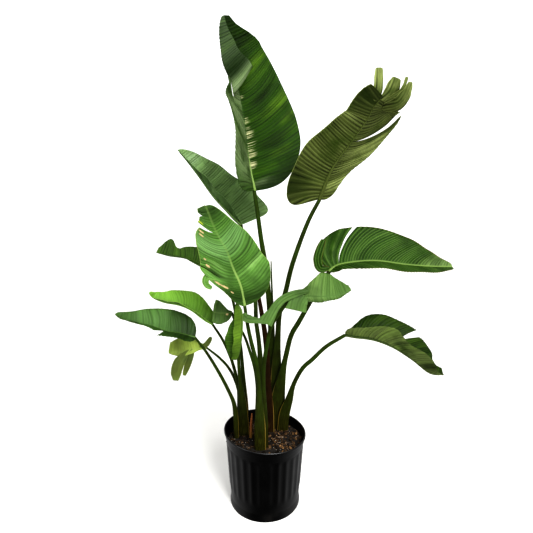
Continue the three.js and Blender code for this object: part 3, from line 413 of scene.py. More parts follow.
class FoliageSettings(bpy.types.PropertyGroup):
    pleat_spacing: size_setting(
        "Pleat Spacing", "Between the pleats that run from midrib to margin", 8, 3, 30)
    pleat_depth: size_setting("Pleat Depth", "Half the height of a pleat", 0.7, 0, 3)
    thickness: size_setting("Thickness", "Thickness of a blade", 0.6, 0.2, 3)
    glow: strength_setting(
        "Glow", "Share of the light that passes through a blade", 0.22, 1, subtype="FACTOR")
    midrib: colour_setting("Midrib", "The pale band along the midrib", "86A05A")
    # this colour serves the paler thin-tissue bands, and painted light for the light marks and the
    # pleat crests
    light: colour_setting("Thin Tissue and Painted Light", "Where the leaf is lighter", "6E8E2E")
    pale: colour_setting("Cream Streaks", "Cream streaks beside the midrib", "C9C79C")
    dry: colour_setting("Dead Tissue", "Dried patches and torn edges", "C0AC80")
    yellow: colour_setting("Ageing Tissue", "Yellowed patches", "9AA83C")


class StalkSettings(bpy.types.PropertyGroup):
    green: colour_setting("Stalk", "Upper part of a stalk", "293A0C")
    deep: colour_setting("Stalk Base", "Sheathing base of a stalk", "27260A")
    brown: colour_setting("Sheath Margin", "Papery margin of a sheath", "7C6A32")
    # dark brown: partly the dead stalk's own colour and partly painted shade, for a stalk standing
    # deep among the others
    dried: colour_setting("Dried Stalk", "Dead, papery stalks", "2A1A08")
    copper: colour_setting("Dead Stub", "The dead stub in the mix", "8A5A38")


class PotSettings(bpy.types.PropertyGroup):
    flute_depth: size_setting("Flute Depth", "How far the moulded flutes stand out", 1.6, 0, 4)
    plastic: colour_setting("Plastic", "Soft black pot plastic", "020202")
    dust: colour_setting("Dust", "Dust and water marks on the pot", "4A453E")


class MixSettings(bpy.types.PropertyGroup):
    chips: count_setting("Bark Chips", "Chips of bark on the mix", 700, 4000)
    grains: count_setting("Perlite Grains", "White grains on the mix", 90, 1000)
    fibres: count_setting("Fibres", "Loose fibres on the mix", 90, 1000)
    peat: colour_setting("Peat", "The fine dark part of the mix", "1A130B")
    bark: colour_setting("Bark", "Fresh side of a bark chip", "9A764E")
    perlite: colour_setting("Perlite", "White grains", "D8D2C4")


class StageSettings(bpy.types.PropertyGroup):
    floor: colour_setting("Floor", "The plain floor", "F4F3F0")
    key: strength_setting("Key Light", "Strength of the high soft light", 2.7, 100)
    fill: strength_setting("Fill Light", "Strength of the light from the other side", 24, 1000,
                           subtype="POWER", unit="POWER")
    front: strength_setting("Front Light", "Strength of the light from the front", 30, 1000,
                            subtype="POWER", unit="POWER")
    surround: strength_setting("Surround", "Strength of the even light all round", 0.5, 10)


class PlantSettings(bpy.types.PropertyGroup):
    foliage: bpy.props.PointerProperty(type=FoliageSettings)
    stalks: bpy.props.PointerProperty(type=StalkSettings)
    pot: bpy.props.PointerProperty(type=PotSettings)
    mix: bpy.props.PointerProperty(type=MixSettings)
    stage: bpy.props.PointerProperty(type=StageSettings)


# ------------------------------------------------------------------ lines and grids

def knots(values, u, smooth=True):
    """Value between equally spaced knots, where u runs 0 to 1."""
    values = np.asarray(values, float)
    u = np.asarray(u, float)
    if len(values) == 1:
        return np.broadcast_to(values[0], u.shape + values.shape[1:]).astype(float)
    x = np.clip(u, 0, 1) * (len(values) - 1)
    i = np.minimum(np.floor(x).astype(int), len(values) - 2)
    w = step_up(x - i) if smooth else x - i
    if values.ndim > 1:
        w = w[..., None]
    return values[i] * (1 - w) + values[i + 1] * w


def step_up(x):
    """0 below 0, 1 above 1, and smooth between."""
    x = np.clip(x, 0, 1)
    return x * x * (3 - 2 * x)


def unit(v):
    return v / np.maximum(np.linalg.norm(v, axis=-1, keepdims=True), 1e-12)


def circle(sides):
    """Equal turns round a circle, in radians."""
    return np.linspace(0, 2 * np.pi, sides, endpoint=False)


class Route:
    """A smooth line through points, read by its length."""

    def __init__(self, points, samples=60):
        p = np.array(points, float)
        ends = np.vstack([2 * p[0] - p[1], p, 2 * p[-1] - p[-2]])
        line = []
        w = np.arange(samples)[:, None] / samples
        for i in range(len(p) - 1):
            a, b, c, d = ends[i:i + 4]
            ab, bc, cd = (np.linalg.norm(q - o) ** 0.5 for o, q in ((a, b), (b, c), (c, d)))
            m1 = ((b - a) / ab - (c - a) / (ab + bc) + (c - b) / bc) * bc
            m2 = ((c - b) / bc - (d - b) / (bc + cd) + (d - c) / cd) * bc
            line.append(b + m1 * w + (3 * (c - b) - 2 * m1 - m2) * w ** 2
                        + (2 * (b - c) + m1 + m2) * w ** 3)
        self.line = np.vstack(line + [p[-1:]])
        self.far = np.append(0, np.cumsum(np.linalg.norm(np.diff(self.line, axis=0), axis=1)))
        self.length = self.far[-1]
        self.slope = unit(np.gradient(self.line, self.far, axis=0))

    def at(self, u):
        """Places and directions at u, which runs 0 to 1."""
        s = np.clip(u, 0, 1) * self.length
        place, slope = (np.stack([np.interp(s, self.far, table[:, k]) for k in range(3)], -1)
                        for table in (self.line, self.slope))
        return place, unit(slope)


def put_in_scene(name, data):
    made = bpy.data.objects.new(name, data)
    bpy.context.scene.collection.objects.link(made)
    return made


class Skin:
    """Vertices, faces and named values per vertex, gathered from several surfaces."""

    def __init__(self):
        self.points, self.faces, self.values, self.count = [], [], {}, 0

    def add(self, points, faces, **values):
        points = np.asarray(points, float).reshape(-1, 3)
        self.faces += [tuple(int(i) + self.count for i in face) for face in faces]
        for name in {**self.values, **values}:
            kept = self.values.setdefault(name, [])
            if not kept and self.count:
                kept.append(np.zeros(self.count))
            value = values.get(name, 0)
            kept.append(np.broadcast_to(np.asarray(value, float).ravel(), len(points)))
        self.points.append(points)
        self.count += len(points)

    def mesh(self, name):
        """The mesh, in metres."""
        mesh = bpy.data.meshes.new(name)
        mesh.from_pydata(np.vstack(self.points) * MM, [], self.faces)
        return mesh

    def piece(self, name, material, slot, *nodes, smooth=True):
        """Makes the object, in place of CAD nodes."""
        mesh = self.mesh(name)
        mesh.validate()
        for key, value in self.values.items():
            attribute = mesh.attributes.new(key, "FLOAT", "POINT")
            attribute.data.foreach_set("value", np.concatenate(value).astype(np.float32))
        mesh.materials.append(material)
        mesh.polygons.foreach_set("use_smooth", [smooth] * len(mesh.polygons))
        piece = put_in_scene(name, mesh)
        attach(piece, "root")
        if nodes:
            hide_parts(*nodes)
        return piece


def tube(skin, rings, inside_out=False, **values):
    """A closed tube through rings of points, with flat ends."""
    rows, columns = rings.shape[:2]
    last = (rows - 1) * columns
    faces = [(r + c, r + columns + c, r + columns + (c + 1) % columns, r + (c + 1) % columns)
             for r in range(0, last, columns) for c in range(columns)]
    faces.append(tuple(range(columns)))
    faces.append(tuple(last + c for c in reversed(range(columns))))
    if inside_out:
        faces = [tuple(reversed(face)) for face in faces]
    skin.add(rings, faces, **{k: np.broadcast_to(v, (rows, columns)) for k, v in values.items()})


def rings_round(centre, right, up, wide, high):
    """Rings of points round a line, by how far each stands to the right and up."""
    return centre[:, None] + right[:, None] * wide[..., None] + up[:, None] * high[..., None]


def facing(face, u, tangent):
    """The way a blade's upper face looks at u, square to its midrib."""
    normal = knots(face, u)
    return unit(normal - (normal * tangent).sum(-1, keepdims=True) * tangent)


# ------------------------------------------------------------------ materials

def add_node(tree, kind, inputs=None, **settings):
    """A node with its settings, and its sockets given values or linked to other nodes."""
    node = tree.nodes.new("ShaderNode" + kind)
    for name, value in settings.items():
        setattr(node, name, value)
    for name, value in (inputs or {}).items():
        socket = node.inputs[name]
        if isinstance(value, bpy.types.Node):
            value = next(out for out in value.outputs if out.enabled)
        if isinstance(value, bpy.types.NodeSocket):
            tree.links.new(value, socket)
        elif socket.type == "RGBA" and len(value) == 3:
            socket.default_value = (*value, 1)
        else:
            socket.default_value = value
    return node


def new_material(name):
    """An empty node material, and the function that adds nodes to it."""
    material = bpy.data.materials.new(name)
    material.use_nodes = True
    material.node_tree.nodes.clear()
    return material, functools.partial(add_node, material.node_tree)


def lighter(colour, share):
    return tuple(c + (1 - c) * share for c in colour)


def darker(colour, share):
    return tuple(c * (1 - share) for c in colour)


def brighter(colour, times):
    return tuple(min(1, c * times) for c in colour)


def scale_for(size):
    """Scale of a noise whose features are about this wide, in mm."""
    return 1 / (size * MM)


PLANT_IOR = 1.45  # waxy plant skin
PLASTIC_IOR = 1.5
MIX_IOR = 1.5
# light marks are painted light; the next constant is for the smooth painted sheen, which is painted
# shade on the lobed leaf's strips
PALE_SEEN = 0.65  # how strongly a light mark shows
SHEEN_AND_SHADE_SEEN = 0.85
SHINING_THROUGH = (0.42, 0.55, 0.05)  # light that has passed through a leaf


def leaf_material(name, look, foliage, seed):
    """Living leaf, waxy and satin above, duller below. Groups of veins are lighter or darker
    than their neighbours; the pleats carry painted light on their crests and painted shade in
    their troughs, partly the veins' own colour; a painted shade darkens the groove between some
    of the pleats; lines of about 1 mm run along them (drawn a little coarser than life); and some
    light shines through. Light, dark and bloom marks are painted light, painted shade and a smooth
    painted sheen, which on the lobed leaf's strips is a painted shade."""
    material, add = new_material(name)
    upper, under = linear(look["upper"]), linear(look["under"])
    vein, rib, margin, along, face, dark, light, bloom, pale, yellow, dry = (
        add("Attribute", attribute_name=key).outputs["Fac"] for key in (
            "vein", "rib", "margin", "along", "upper", *MARK_KINDS))
    place = add("TexCoord").outputs["Object"]
    turn = add("Math", {0: vein, 1: 2 * math.pi}, operation="MULTIPLY")
    ridge = add("Math", {0: turn}, operation="SINE")
    fine = add("Math", {0: add("Math", {0: turn, 1: 6.0}, operation="MULTIPLY")},
               operation="SINE")
    # bands are some 35 mm wide, folds 9 mm and streaks 3 mm, and 80 to 250 mm long
    bands, folds, streaks = (add("TexNoise", {
        "Scale": 1.0, "Detail": 3.0, "Vector": add("CombineXYZ", {
            0: add("Math", {0: vein, 1: across}, operation="MULTIPLY"),
            1: add("Math", {0: rib, 1: outward}, operation="MULTIPLY"), 2: seed})})
        for across, outward in ((0.23, 0.004), (0.9, 0.007), (2.7, 0.012)))
    # groove: painted shade in the crease between some of the pleats
    groove = add("Math", {
        0: add("MapRange", {"Value": ridge, "From Min": -0.55, "From Max": -1.0},
               interpolation_type="SMOOTHSTEP"),
        1: add("MapRange", {"Value": folds, "From Min": 0.6, "From Max": 0.42})},
                 operation="MULTIPLY")
    # the ridge stripe is painted light on the pleat crests and painted shade in their troughs,
    # partly the veins' own colour
    tone = 1 - 1.2 * look["stripe"]
    for pattern, share in ((ridge, look["ridge"]), (fine, 0.03), (bands, 0.9), (folds, 0.95),
                           (streaks, 0.6), (groove, -0.5)):
        tone = add("Math", {0: pattern, 1: share * look["stripe"], 2: tone},
                   operation="MULTIPLY_ADD")
    veined = add("MapRange", {"Value": folds, "From Min": 0.36, "From Max": 0.62,
                              "To Min": 0.45})
    # dark and light marks are painted shade and painted light, broken up along the veins
    dark, light = (add("Math", {0: mark, 1: veined}, operation="MULTIPLY")
                   for mark in (dark, light))
    thin = add("MapRange", {"Value": bands, "From Min": 0.5, "From Max": 0.72,
                            "To Max": look["thin"]})
    close = add("MapRange", {"Value": rib, "From Min": 2.6 * look["band"],
                             "From Max": 1.1 * look["band"]}, interpolation_type="SMOOTHSTEP")
    # crest: painted highlight lines along the pleat crests
    crest = add("Math", {0: add("MapRange", {
        "Value": ridge, "From Min": 0.5, "To Max": look["lines"]}), 1: close},
                operation="SUBTRACT", use_clamp=True)
    pale_green = linear(look["light"]) if look["light"] else foliage.light
    colour = add("Mix", {0: face, 6: under, 7: upper}, data_type="RGBA")
    # light marks and pleat crests are painted light; the third layer lays a smooth painted sheen,
    # and a painted shade on the lobed leaf's strips
    for share, shade in (
            (add("Math", {0: light, 1: PALE_SEEN, 2: thin}, operation="MULTIPLY_ADD",
                 use_clamp=True), pale_green),
            (crest, pale_green),
            (add("Math", {0: bloom, 1: SHEEN_AND_SHADE_SEEN}, operation="MULTIPLY"),
             linear(look["bloom"]) if look["bloom"] else under)):
        colour = add("Mix", {0: share, 6: colour, 7: shade}, data_type="RGBA")
    colour = add("VectorMath", {0: colour, "Scale": tone}, operation="SCALE")
    blotches = add("MapRange", {"Value": add("TexNoise", {
        "Vector": place, "Scale": scale_for(71.4), "Detail": 3.0}), "From Min": 0.45,
        "From Max": 0.8}, interpolation_type="SMOOTHSTEP")
    edge = add("MapRange", {"Value": margin, "From Min": 1.5, "From Max": 0.3, "To Max": 0.85},
               interpolation_type="SMOOTHSTEP")
    fade = add("MapRange", {"Value": along, "From Min": look["reach"] * 0.4,
                            "From Max": look["reach"], "To Min": look["midrib"],
                            "To Max": look["end"]}, interpolation_type="SMOOTHSTEP")
    midrib = add("Mix", {0: face, 6: lighter(under, 0.08), 7: foliage.midrib}, data_type="RGBA")
    slits = add("MapRange", {"Value": add("Math", {0: folds, 1: streaks}, operation="ADD"),
                             "From Min": 0.98, "From Max": 1.1},
                interpolation_type="SMOOTHSTEP")
    ragged = add("Math", {0: add("TexNoise", {
        "Vector": place, "Scale": scale_for(4.545), "Detail": 4.0}), 1: 0.8, 2: -0.4},
                 operation="MULTIPLY_ADD")
    # blotches are tone that differs at random; dark marks paint shade
    layers = [
        (blotches, darker(upper, 0.4)), (dark, darker(upper, 0.68)),
        (edge, linear(look["rim"]) if look["rim"] else darker(upper, 0.35)),
        (add("Math", {0: fade, 1: close}, operation="MULTIPLY"), midrib),
        (add("Math", {0: slits, 1: pale}, operation="MULTIPLY"), foliage.pale)]
    for patch, low, high, shade in ((yellow, 0.2, 0.8, foliage.yellow),
                                    (dry, 0.3, 0.5, darker(foliage.dry, 0.6)),
                                    (dry, 0.45, 0.6, foliage.dry)):
        layers.append((add("MapRange", {
            "Value": add("Math", {0: patch, 1: ragged}, operation="ADD"),
            "From Min": low, "From Max": high}, interpolation_type="SMOOTHSTEP"), shade))
    for share, shade in layers:
        colour = add("Mix", {0: share, 6: colour, 7: shade}, data_type="RGBA")
    lines = add("Math", {0: fine, 1: 0.3, 2: streaks}, operation="MULTIPLY_ADD")
    bump = add("Bump", {"Strength": 0.3, "Distance": 0.0004, "Height": lines})
    wax = add("MapRange", {"Value": add("TexNoise", {
        "Vector": place, "Scale": scale_for(16.67), "Detail": 3.0}),
        "To Min": 0.4, "To Max": 0.56})
    skin = add("BsdfPrincipled", {
        "Base Color": colour, "IOR": PLANT_IOR, "Specular IOR Level": look["shine"],
        "Roughness": add("MapRange", {"Value": face, "To Min": 0.6, "To Max": wax}),
        "Normal": bump})
    through = add("BsdfTranslucent", {"Color": add("Mix", {
        0: 0.55, 6: colour, 7: SHINING_THROUGH}, data_type="RGBA"), "Normal": bump})
    add("OutputMaterial", {"Surface": add("MixShader", {
        0: look["glow"] or foliage.glow, 1: skin, 2: through})})
    return material


def stalk_material(name, top, base, margin, dry=0.0):
    """Leaf stalk: smooth waxy skin with long fine fibres, darker and duller down at the sheath,
    whose thin edge dries pale brown. Dry tissue is duller and its fibres stand out."""
    material, add = new_material(name)
    down, around, reach, edge = (add("Attribute", attribute_name=key).outputs["Fac"]
                                 for key in ("down", "around", "reach", "edge"))
    # fibres about 1 mm wide, drawn coarser than life, and 28 mm long
    fibres = add("TexNoise", {"Scale": 3.0, "Detail": 5.0, "Vector": add("CombineXYZ", {
        0: add("Math", {0: around, 1: 9.0}, operation="MULTIPLY"),
        1: add("Math", {0: reach, 1: 0.012}, operation="MULTIPLY")})})
    patches = add("TexNoise", {"Vector": add("TexCoord").outputs["Object"],
                               "Scale": scale_for(45.45), "Detail": 3.0})
    papery = add("Math", {
        0: add("MapRange", {"Value": down, "From Min": 0.75, "To Max": 0.3}),
        1: add("MapRange", {"Value": fibres, "From Min": 0.5, "From Max": 0.65})},
                 operation="MULTIPLY")
    colour = add("Mix", {0: add("MapRange", {"Value": down, "From Min": 0.35, "From Max": 0.85}),
                         6: top, 7: base}, data_type="RGBA")
    for share, shade in (
            (add("MapRange", {"Value": fibres, "From Min": 0.45, "From Max": 0.8, "To Max": 0.6}),
             brighter(top, 1.7)),
            (add("MapRange", {"Value": patches, "From Min": 0.45, "From Max": 0.75,
                              "To Max": 0.7}), darker(base, 0.5)),
            (papery, margin),
            (add("MapRange", {"Value": edge, "From Min": 0.3, "From Max": 0.8}), margin)):
        colour = add("Mix", {0: share, 6: colour, 7: shade}, data_type="RGBA")
    roughness = add("MapRange", {"Value": fibres, "To Min": 0.4 + 0.3 * dry,
                                 "To Max": 0.55 + 0.35 * dry})
    bump = add("Bump", {"Strength": 0.3 + 0.5 * dry, "Distance": 0.0006, "Height": fibres})
    add("OutputMaterial", {"Surface": add("BsdfPrincipled", {
        "Base Color": colour, "Roughness": roughness, "IOR": PLANT_IOR,
        "Specular IOR Level": 0.1, "Normal": bump})})
    return material


def pot_material(settings):
    """Nursery pot: blow-moulded black polyethylene, satin, with a faint orange-peel skin of
    1.4 mm and a little pale dust low down and in drips 11 mm wide."""
    material, add = new_material("black_polyethylene")
    place = add("TexCoord").outputs["Object"]
    height = add("SeparateXYZ", {0: place}).outputs[2]
    clouds = add("TexNoise", {"Vector": place, "Scale": scale_for(55.56), "Detail": 5.0})
    drips = add("TexNoise", {"Scale": 1.0, "Detail": 4.0, "Vector": add(
        "Mapping", {"Vector": place, "Scale": (90, 90, 7)})})
    low = add("MapRange", {"Value": height, "From Min": 0.05, "From Max": 0.0, "To Max": 0.16})
    dust = add("Math", {0: low, 1: add("MapRange", {
        "Value": clouds, "From Min": 0.45, "From Max": 0.8})}, operation="MULTIPLY")
    dust = add("Math", {0: dust, 1: add("MapRange", {
        "Value": drips, "From Min": 0.62, "From Max": 0.8, "To Max": 0.02})},
               operation="ADD", use_clamp=True)
    colour = add("Mix", {0: dust, 6: settings.plastic, 7: settings.dust}, data_type="RGBA")
    peel = add("TexNoise", {"Vector": place, "Scale": scale_for(1.4286), "Detail": 2.0})
    bump = add("Bump", {"Strength": 0.15, "Distance": 0.0003, "Height": peel})
    roughness = add("MapRange", {"Value": clouds, "From Min": 0.3, "From Max": 0.8,
                                 "To Min": 0.3, "To Max": 0.45})
    add("OutputMaterial", {"Surface": add("BsdfPrincipled", {
        "Base Color": colour, "Roughness": roughness, "IOR": PLASTIC_IOR,
        "Specular IOR Level": 0.55, "Normal": bump})})
    return material


def crumb_material(name, dark, light, roughness, grain):
    """Loose stuff of the mix: dull and rough, each bit with a shade of its own and a grain of
    its own size in mm."""
    material, add = new_material(name)
    shade = add("Attribute", attribute_name="shade").outputs["Fac"]
    grains = add("TexNoise", {"Vector": add("TexCoord").outputs["Object"],
                              "Scale": scale_for(grain), "Detail": 4.0})
    colour = add("Mix", {0: shade, 6: dark, 7: light}, data_type="RGBA")
    colour = add("Mix", {0: add("MapRange", {
        "Value": grains, "From Min": 0.4, "From Max": 0.7, "To Max": 0.6}),
        6: colour, 7: darker(dark, 0.3)}, data_type="RGBA")
    bump = add("Bump", {"Strength": 0.6, "Distance": 0.001, "Height": grains})
    add("OutputMaterial", {"Surface": add("BsdfPrincipled", {
        "Base Color": colour, "Roughness": roughness, "IOR": MIX_IOR,
        "Specular IOR Level": 0.25, "Normal": bump})})
    return material


# ------------------------------------------------------------------ blades

SAME = 1e-9
MARGIN_STEPS = (-0.03, 0, 0.03)  # an outline is evened out over these shares of the blade
TIP = 0.999  # share of the length from which the tip's own width counts
LOBE_REACH = 0.22  # share of the length from which the lobes reach back past the stalk
SWEEP_START = 0.08  # share of the length over which the veins begin to lean
VEIN_BEND = 1.6  # how much more the veins lean near the margin than near the midrib
DROOP_START = 0.15  # share of the width over which a blade begins to droop beside a tear
MARGIN_WAVES = 3.3
PLEAT_START = 12  # the pleats rise over this many mm beside the midrib


def outline_at(half, u):
    """The width at u, as a share of the widest place."""
    peak = half["peak"]
    a = np.clip(u / peak, 0, 1)
    base = (1 - (1 - a) ** half["base_power"]) ** (1 / half["base_power"])
    if half["outline"]:
        return sum(knots(half["outline"], u + d, smooth=False) for d in MARGIN_STEPS) / 3 * base
    b = np.clip((u - peak) / (1 - peak), 0, 1)
    return np.where(u < peak, base, (1 - b ** half["tip_power"]) ** half["tip_ease"])


def half_sheet(route, face, half, sign, stations, columns, ripple):
    """Half a blade as rows of points from the midrib out to the margin. A tear doubles its row,
    and the two share points as far as the tear is closed."""
    rows = []
    for u in stations:
        torn = next((t for t in half["tears"] if abs(t["at"] - u) < SAME), None)
        rows += [(u, bank, torn) for bank in ((-1, 1) if torn else (0,))]
    u = np.array([row[0] for row in rows])[:, None]
    bank = np.array([row[1] for row in rows])[:, None]
    t = np.linspace(0, 1, columns + 1)[None, :]
    sweep = half["sweep"] * np.sin(np.pi * np.minimum(u * 0.9 + 0.1, 1)) * np.minimum(
        1, u / SWEEP_START)
    width = np.where(u > TIP, half["tip_width"], NECK + (half["half"] - NECK) * outline_at(
        half, np.minimum(u + sweep, 1)))
    share = width / half["half"]
    back = half["lobe"] * np.maximum(0, 1 - u / LOBE_REACH) ** 2 * share
    lean = (sweep - back) * np.sqrt(share)
    angle = knots(half["fold"], u) + knots(half["curl"], u) * t
    angle = angle + knots(half["roll"], u) * step_up(
        (t - knots(half["roll_at"], u)) / ROLL_WIDTH + 0.5)
    along = u + lean * t ** VEIN_BEND
    for cut in half["tears"]:
        way = np.where(bank != 0, bank * (abs(u - cut["at"]) < SAME), 0)
        way = np.where(way == 0, np.sign(u - cut["at"]), way)
        fade = np.exp(-abs(u - cut["at"]) / cut["reach"])
        along = along + way * cut["gap"] / 2 * fade * np.clip(
            (t - cut["deep"]) / (1 - cut["deep"]), 0, 1)
        angle = angle + np.where(way > 0, cut["after"], cut["before"]) * fade * np.clip(
            (t - cut["deep"]) / DROOP_START, 0, 1)
    turn = np.radians(angle)
    pace = width / columns
    out, up = (np.concatenate([np.zeros_like(u), np.cumsum(
        (f(turn[:, 1:]) + f(turn[:, :-1])) / 2 * pace, axis=1)], axis=1) for f in (np.cos, np.sin))
    wave = np.sin(2 * np.pi * (MARGIN_WAVES * u + 0.2 * sign)) * np.minimum(1, share * 2)
    up = up + ripple * t ** 2 * wave
    place, tangent = route.at(along)
    place = place + tangent * ((along - np.clip(along, 0, 1)) * route.length)[..., None]
    normal = facing(face, along, tangent)
    right = np.cross(tangent, normal)
    points = place + right * (sign * out)[..., None] + normal * up[..., None]
    shared = [row[1] == 1 and (t[0] <= row[2]["deep"] + SAME) for row in rows]
    return rows, points, shared, np.broadcast_to(width, (len(rows), columns + 1)), t


def leaf_stations(leaf, rows):
    """Even places along the midrib, with the nearest one moved to each tear."""
    stations = np.linspace(0, 1, rows + 1)
    for at in sorted({t["at"] for side in ("left", "right") for t in leaf[side].get("tears", [])}):
        stations[1:-1][np.argmin(abs(stations[1:-1] - at))] = at
    return stations


def face_normals(points, faces):
    """The way the surface looks at each point, and the edges of the faces in their order."""
    normals = np.zeros_like(points)
    edges = {}
    for face in faces:
        corners = points[list(face)]
        normal = np.cross(corners[1] - corners[0], corners[2] - corners[0])
        if len(face) == 4:
            normal = normal + np.cross(corners[2] - corners[0], corners[3] - corners[0])
        for i, v in enumerate(face):
            normals[v] += normal
            edges[(v, face[(i + 1) % len(face)])] = True
    return unit(normals), edges


def mark_masks(marks, name, u, t, width, length):
    """How strongly each kind of mark shows at each point of a half. Soft marks, which are painted
    light, painted shade and painted sheen, are drawn out across the blade, along its veins."""
    masks = {kind: np.zeros_like(width) for kind in MARK_KINDS}
    for side, along, across, radius, kind in marks:
        if side in (name, "both"):
            drawn = 0.35 if kind in SOFT_MARKS else 1.0
            far = np.hypot((u - along) * length, (t - across) * width * drawn) / radius
            masks[kind] = np.maximum(masks[kind], step_up(1.2 - far))
    return masks


def add_sheet(skin, leaf, foliage, columns, rib_depth, marks, ripple, seed, strip=False):
    """A blade, or a strip torn off one along its veins, as a thin closed solid with pleats."""
    route = Route(leaf["rib"])
    spacing = foliage.pleat_spacing / MM
    rows = max(12, round(route.length / spacing * 4))
    stations = leaf_stations(leaf, rows)
    points, faces, place_of_rib = [], [], {}
    values = {key: [] for key in ("vein", "rib", "margin", "along", "keel", *MARK_KINDS)}
    for name, sign in (("right", 1), ("left", -1)):
        half = {**HALF, **leaf[name]}
        kept, sheet, shared, width, t = half_sheet(
            route, leaf["face"], half, sign, stations, columns, ripple)
        u = np.array([row[0] for row in kept])[:, None]
        phase = u * route.length / spacing + 0.3 * np.sin(11 * u + seed) + 0.2 * np.sin(31 * u)
        phase = np.broadcast_to(phase, width.shape)
        rib = t * width
        if strip:
            phase, rib = seed + sign * rib / spacing, 60 + u * route.length + 0 * rib
        masks = mark_masks(marks, name, u, t, width, route.length)
        table = []
        for r, (row_u, bank, _) in enumerate(kept):
            line = []
            for c in range(columns + 1):
                if bank == 1 and shared[r][c]:
                    line.append(table[r - 1][c])
                    continue
                key = round(row_u, 6)
                if c == 0 and key in place_of_rib:
                    line.append(place_of_rib[key])
                    continue
                line.append(len(points))
                if c == 0:
                    place_of_rib[key] = len(points)
                points.append(sheet[r, c])
                for kind, value in (
                        ("vein", phase[r, c]), ("rib", rib[r, c]), ("along", row_u),
                        ("margin", width[r, c] * (1 - t[0, c])), ("keel", (1 - row_u) * (c == 0)),
                        *((kind, mask[r, c]) for kind, mask in masks.items())):
                    values[kind].append(value)
            table.append(line)
            if r == 0 or kept[r - 1][0] == row_u:
                continue
            for c in range(columns):
                a, b, d, e = table[r - 1][c], table[r][c], table[r - 1][c + 1], table[r][c + 1]
                quad = tuple(dict.fromkeys((a, d, e, b) if sign > 0 else (a, b, e, d)))
                if len(quad) > 2:
                    faces.append(quad)
    points = np.array(points)
    values = {key: np.array(value) for key, value in values.items()}
    normals, edges = face_normals(points, faces)
    # pleats differ in depth, and fade out beside the midrib
    height = foliage.pleat_depth / MM * np.sin(2 * np.pi * values["vein"])
    height = height * (0.75 + 0.45 * np.sin(1.9 * values["vein"] + seed))
    height = height * step_up(values["rib"] / PLEAT_START)
    middle = points + normals * height[:, None]
    half_thick = foliage.thickness / MM / 2
    keel = values.pop("keel") * rib_depth
    top = middle + normals * half_thick
    bottom = middle - normals * (half_thick + keel)[:, None]
    count = len(points)
    solid = list(faces) + [tuple(i + count for i in reversed(face)) for face in faces]
    solid += [(b, a, a + count, b + count) for a, b in edges if (b, a) not in edges]
    both = {key: np.concatenate([value, value]) for key, value in values.items()}
    both["upper"] = np.repeat([1.0, 0.0], count)
    skin.add(np.vstack([top, bottom]), solid, **both)
    return route


def add_midrib(skin, route, face, radius):
    """The round midrib under a blade, which carries its stalk on to the tip."""
    u = np.linspace(0, 0.97, 70)
    place, tangent = route.at(u)
    normal = facing(face, u, tangent)
    thinnest = 0.7
    size = thinnest + (radius - thinnest) * (1 - u) ** 1.4
    drop = size * 0.75 * step_up(u / 0.12)
    angle = circle(12)
    rings = rings_round(place - normal * drop[:, None], np.cross(tangent, normal), normal,
                        size[:, None] * np.cos(angle), size[:, None] * np.sin(angle))
    tube(skin, rings, rib=0.0, upper=(np.sin(angle) > 0.4).astype(float)[None, :],
         margin=50.0, vein=0.25, along=u[:, None])


class PLANT_OT_blades(bpy.types.Operator):
    """The thirteen leaf blades, each with its midrib and torn strips"""
    bl_idname = "plant.blades"
    bl_label = "Leaf Blades"

    def execute(self, context):
        foliage = context.scene.plant.foliage
        for number, (name, leaf) in enumerate(LEAVES.items()):
            look = {**LOOK, **LOOKS[name]}
            skin = Skin()
            wide = max(leaf[side].get("half", HALF["half"]) for side in ("left", "right"))
            route = add_sheet(skin, leaf, foliage, max(12, round(wide / 6)), MIDRIB_DEPTH,
                              look["marks"], 1.5, number * 1.7)
            add_midrib(skin, route, leaf["face"], leaf["stalk"]["tip"] * 0.95)
            for strip in leaf.get("strips", []):
                add_sheet(skin, strip, foliage, 8, 0, look["strip_marks"], 0.5, number,
                          strip=True)
            material = leaf_material("leaf_skin_" + name, look, foliage, number * 3.7)
            skin.piece(name + "_leaf", material, SLOTS.get(name, "leaf"), name + "_blade")
        return {"FINISHED"}


# ------------------------------------------------------------------ stalks

def round_about(angle, middle, spread):
    """1 at one turn of a ring, falling away smoothly on both sides."""
    away = (angle - middle + np.pi) % (2 * np.pi) - np.pi
    return np.exp(-away ** 2 / spread)[None, :]


def stalk_rings(stalk, inner, groove=0.35):
    """Rings of a stalk from its blade down: a round stem, channelled on the side that faces the
    middle of the plant, that flattens into a sheath with a thin raised edge on that side."""
    route = Route(stalk["route"])
    u, angle = np.linspace(0, 1, 90), circle(28)
    place, tangent = route.at(u)
    across = unit(np.cross(tangent, FRONT))
    deep = unit(np.cross(tangent, across))
    radius = stalk["tip"] + (stalk["base"] - stalk["tip"]) * u + STALK_SWELL * np.sin(np.pi * u)
    sheathing = step_up((u - SHEATH.start) / SHEATH.reach)
    wide = radius + (stalk["sheath"] * SHEATH.spread - stalk["base"]) * sheathing
    thick = np.minimum(radius, SHEATH.depth)
    hollow = groove * round_about(angle, 0 if inner < 0 else np.pi, 0.18)
    lift = 1 - hollow * (1 - sheathing[:, None])
    rings = rings_round(place, across, deep, wide[:, None] * np.cos(angle) * lift,
                        thick[:, None] * np.sin(angle) * lift)
    edge = round_about(angle, np.pi * (-0.14 if inner < 0 else -0.86), 0.03) * sheathing[:, None]
    rings = rings + deep[:, None] * (-SHEATH.edge * edge * np.sign(deep[:, 1:2]))[..., None]
    values = {"down": u[:, None], "reach": (u * route.length)[:, None],
              "around": np.abs(np.linspace(-1, 1, len(angle)))[None, :], "edge": edge}
    return rings, values


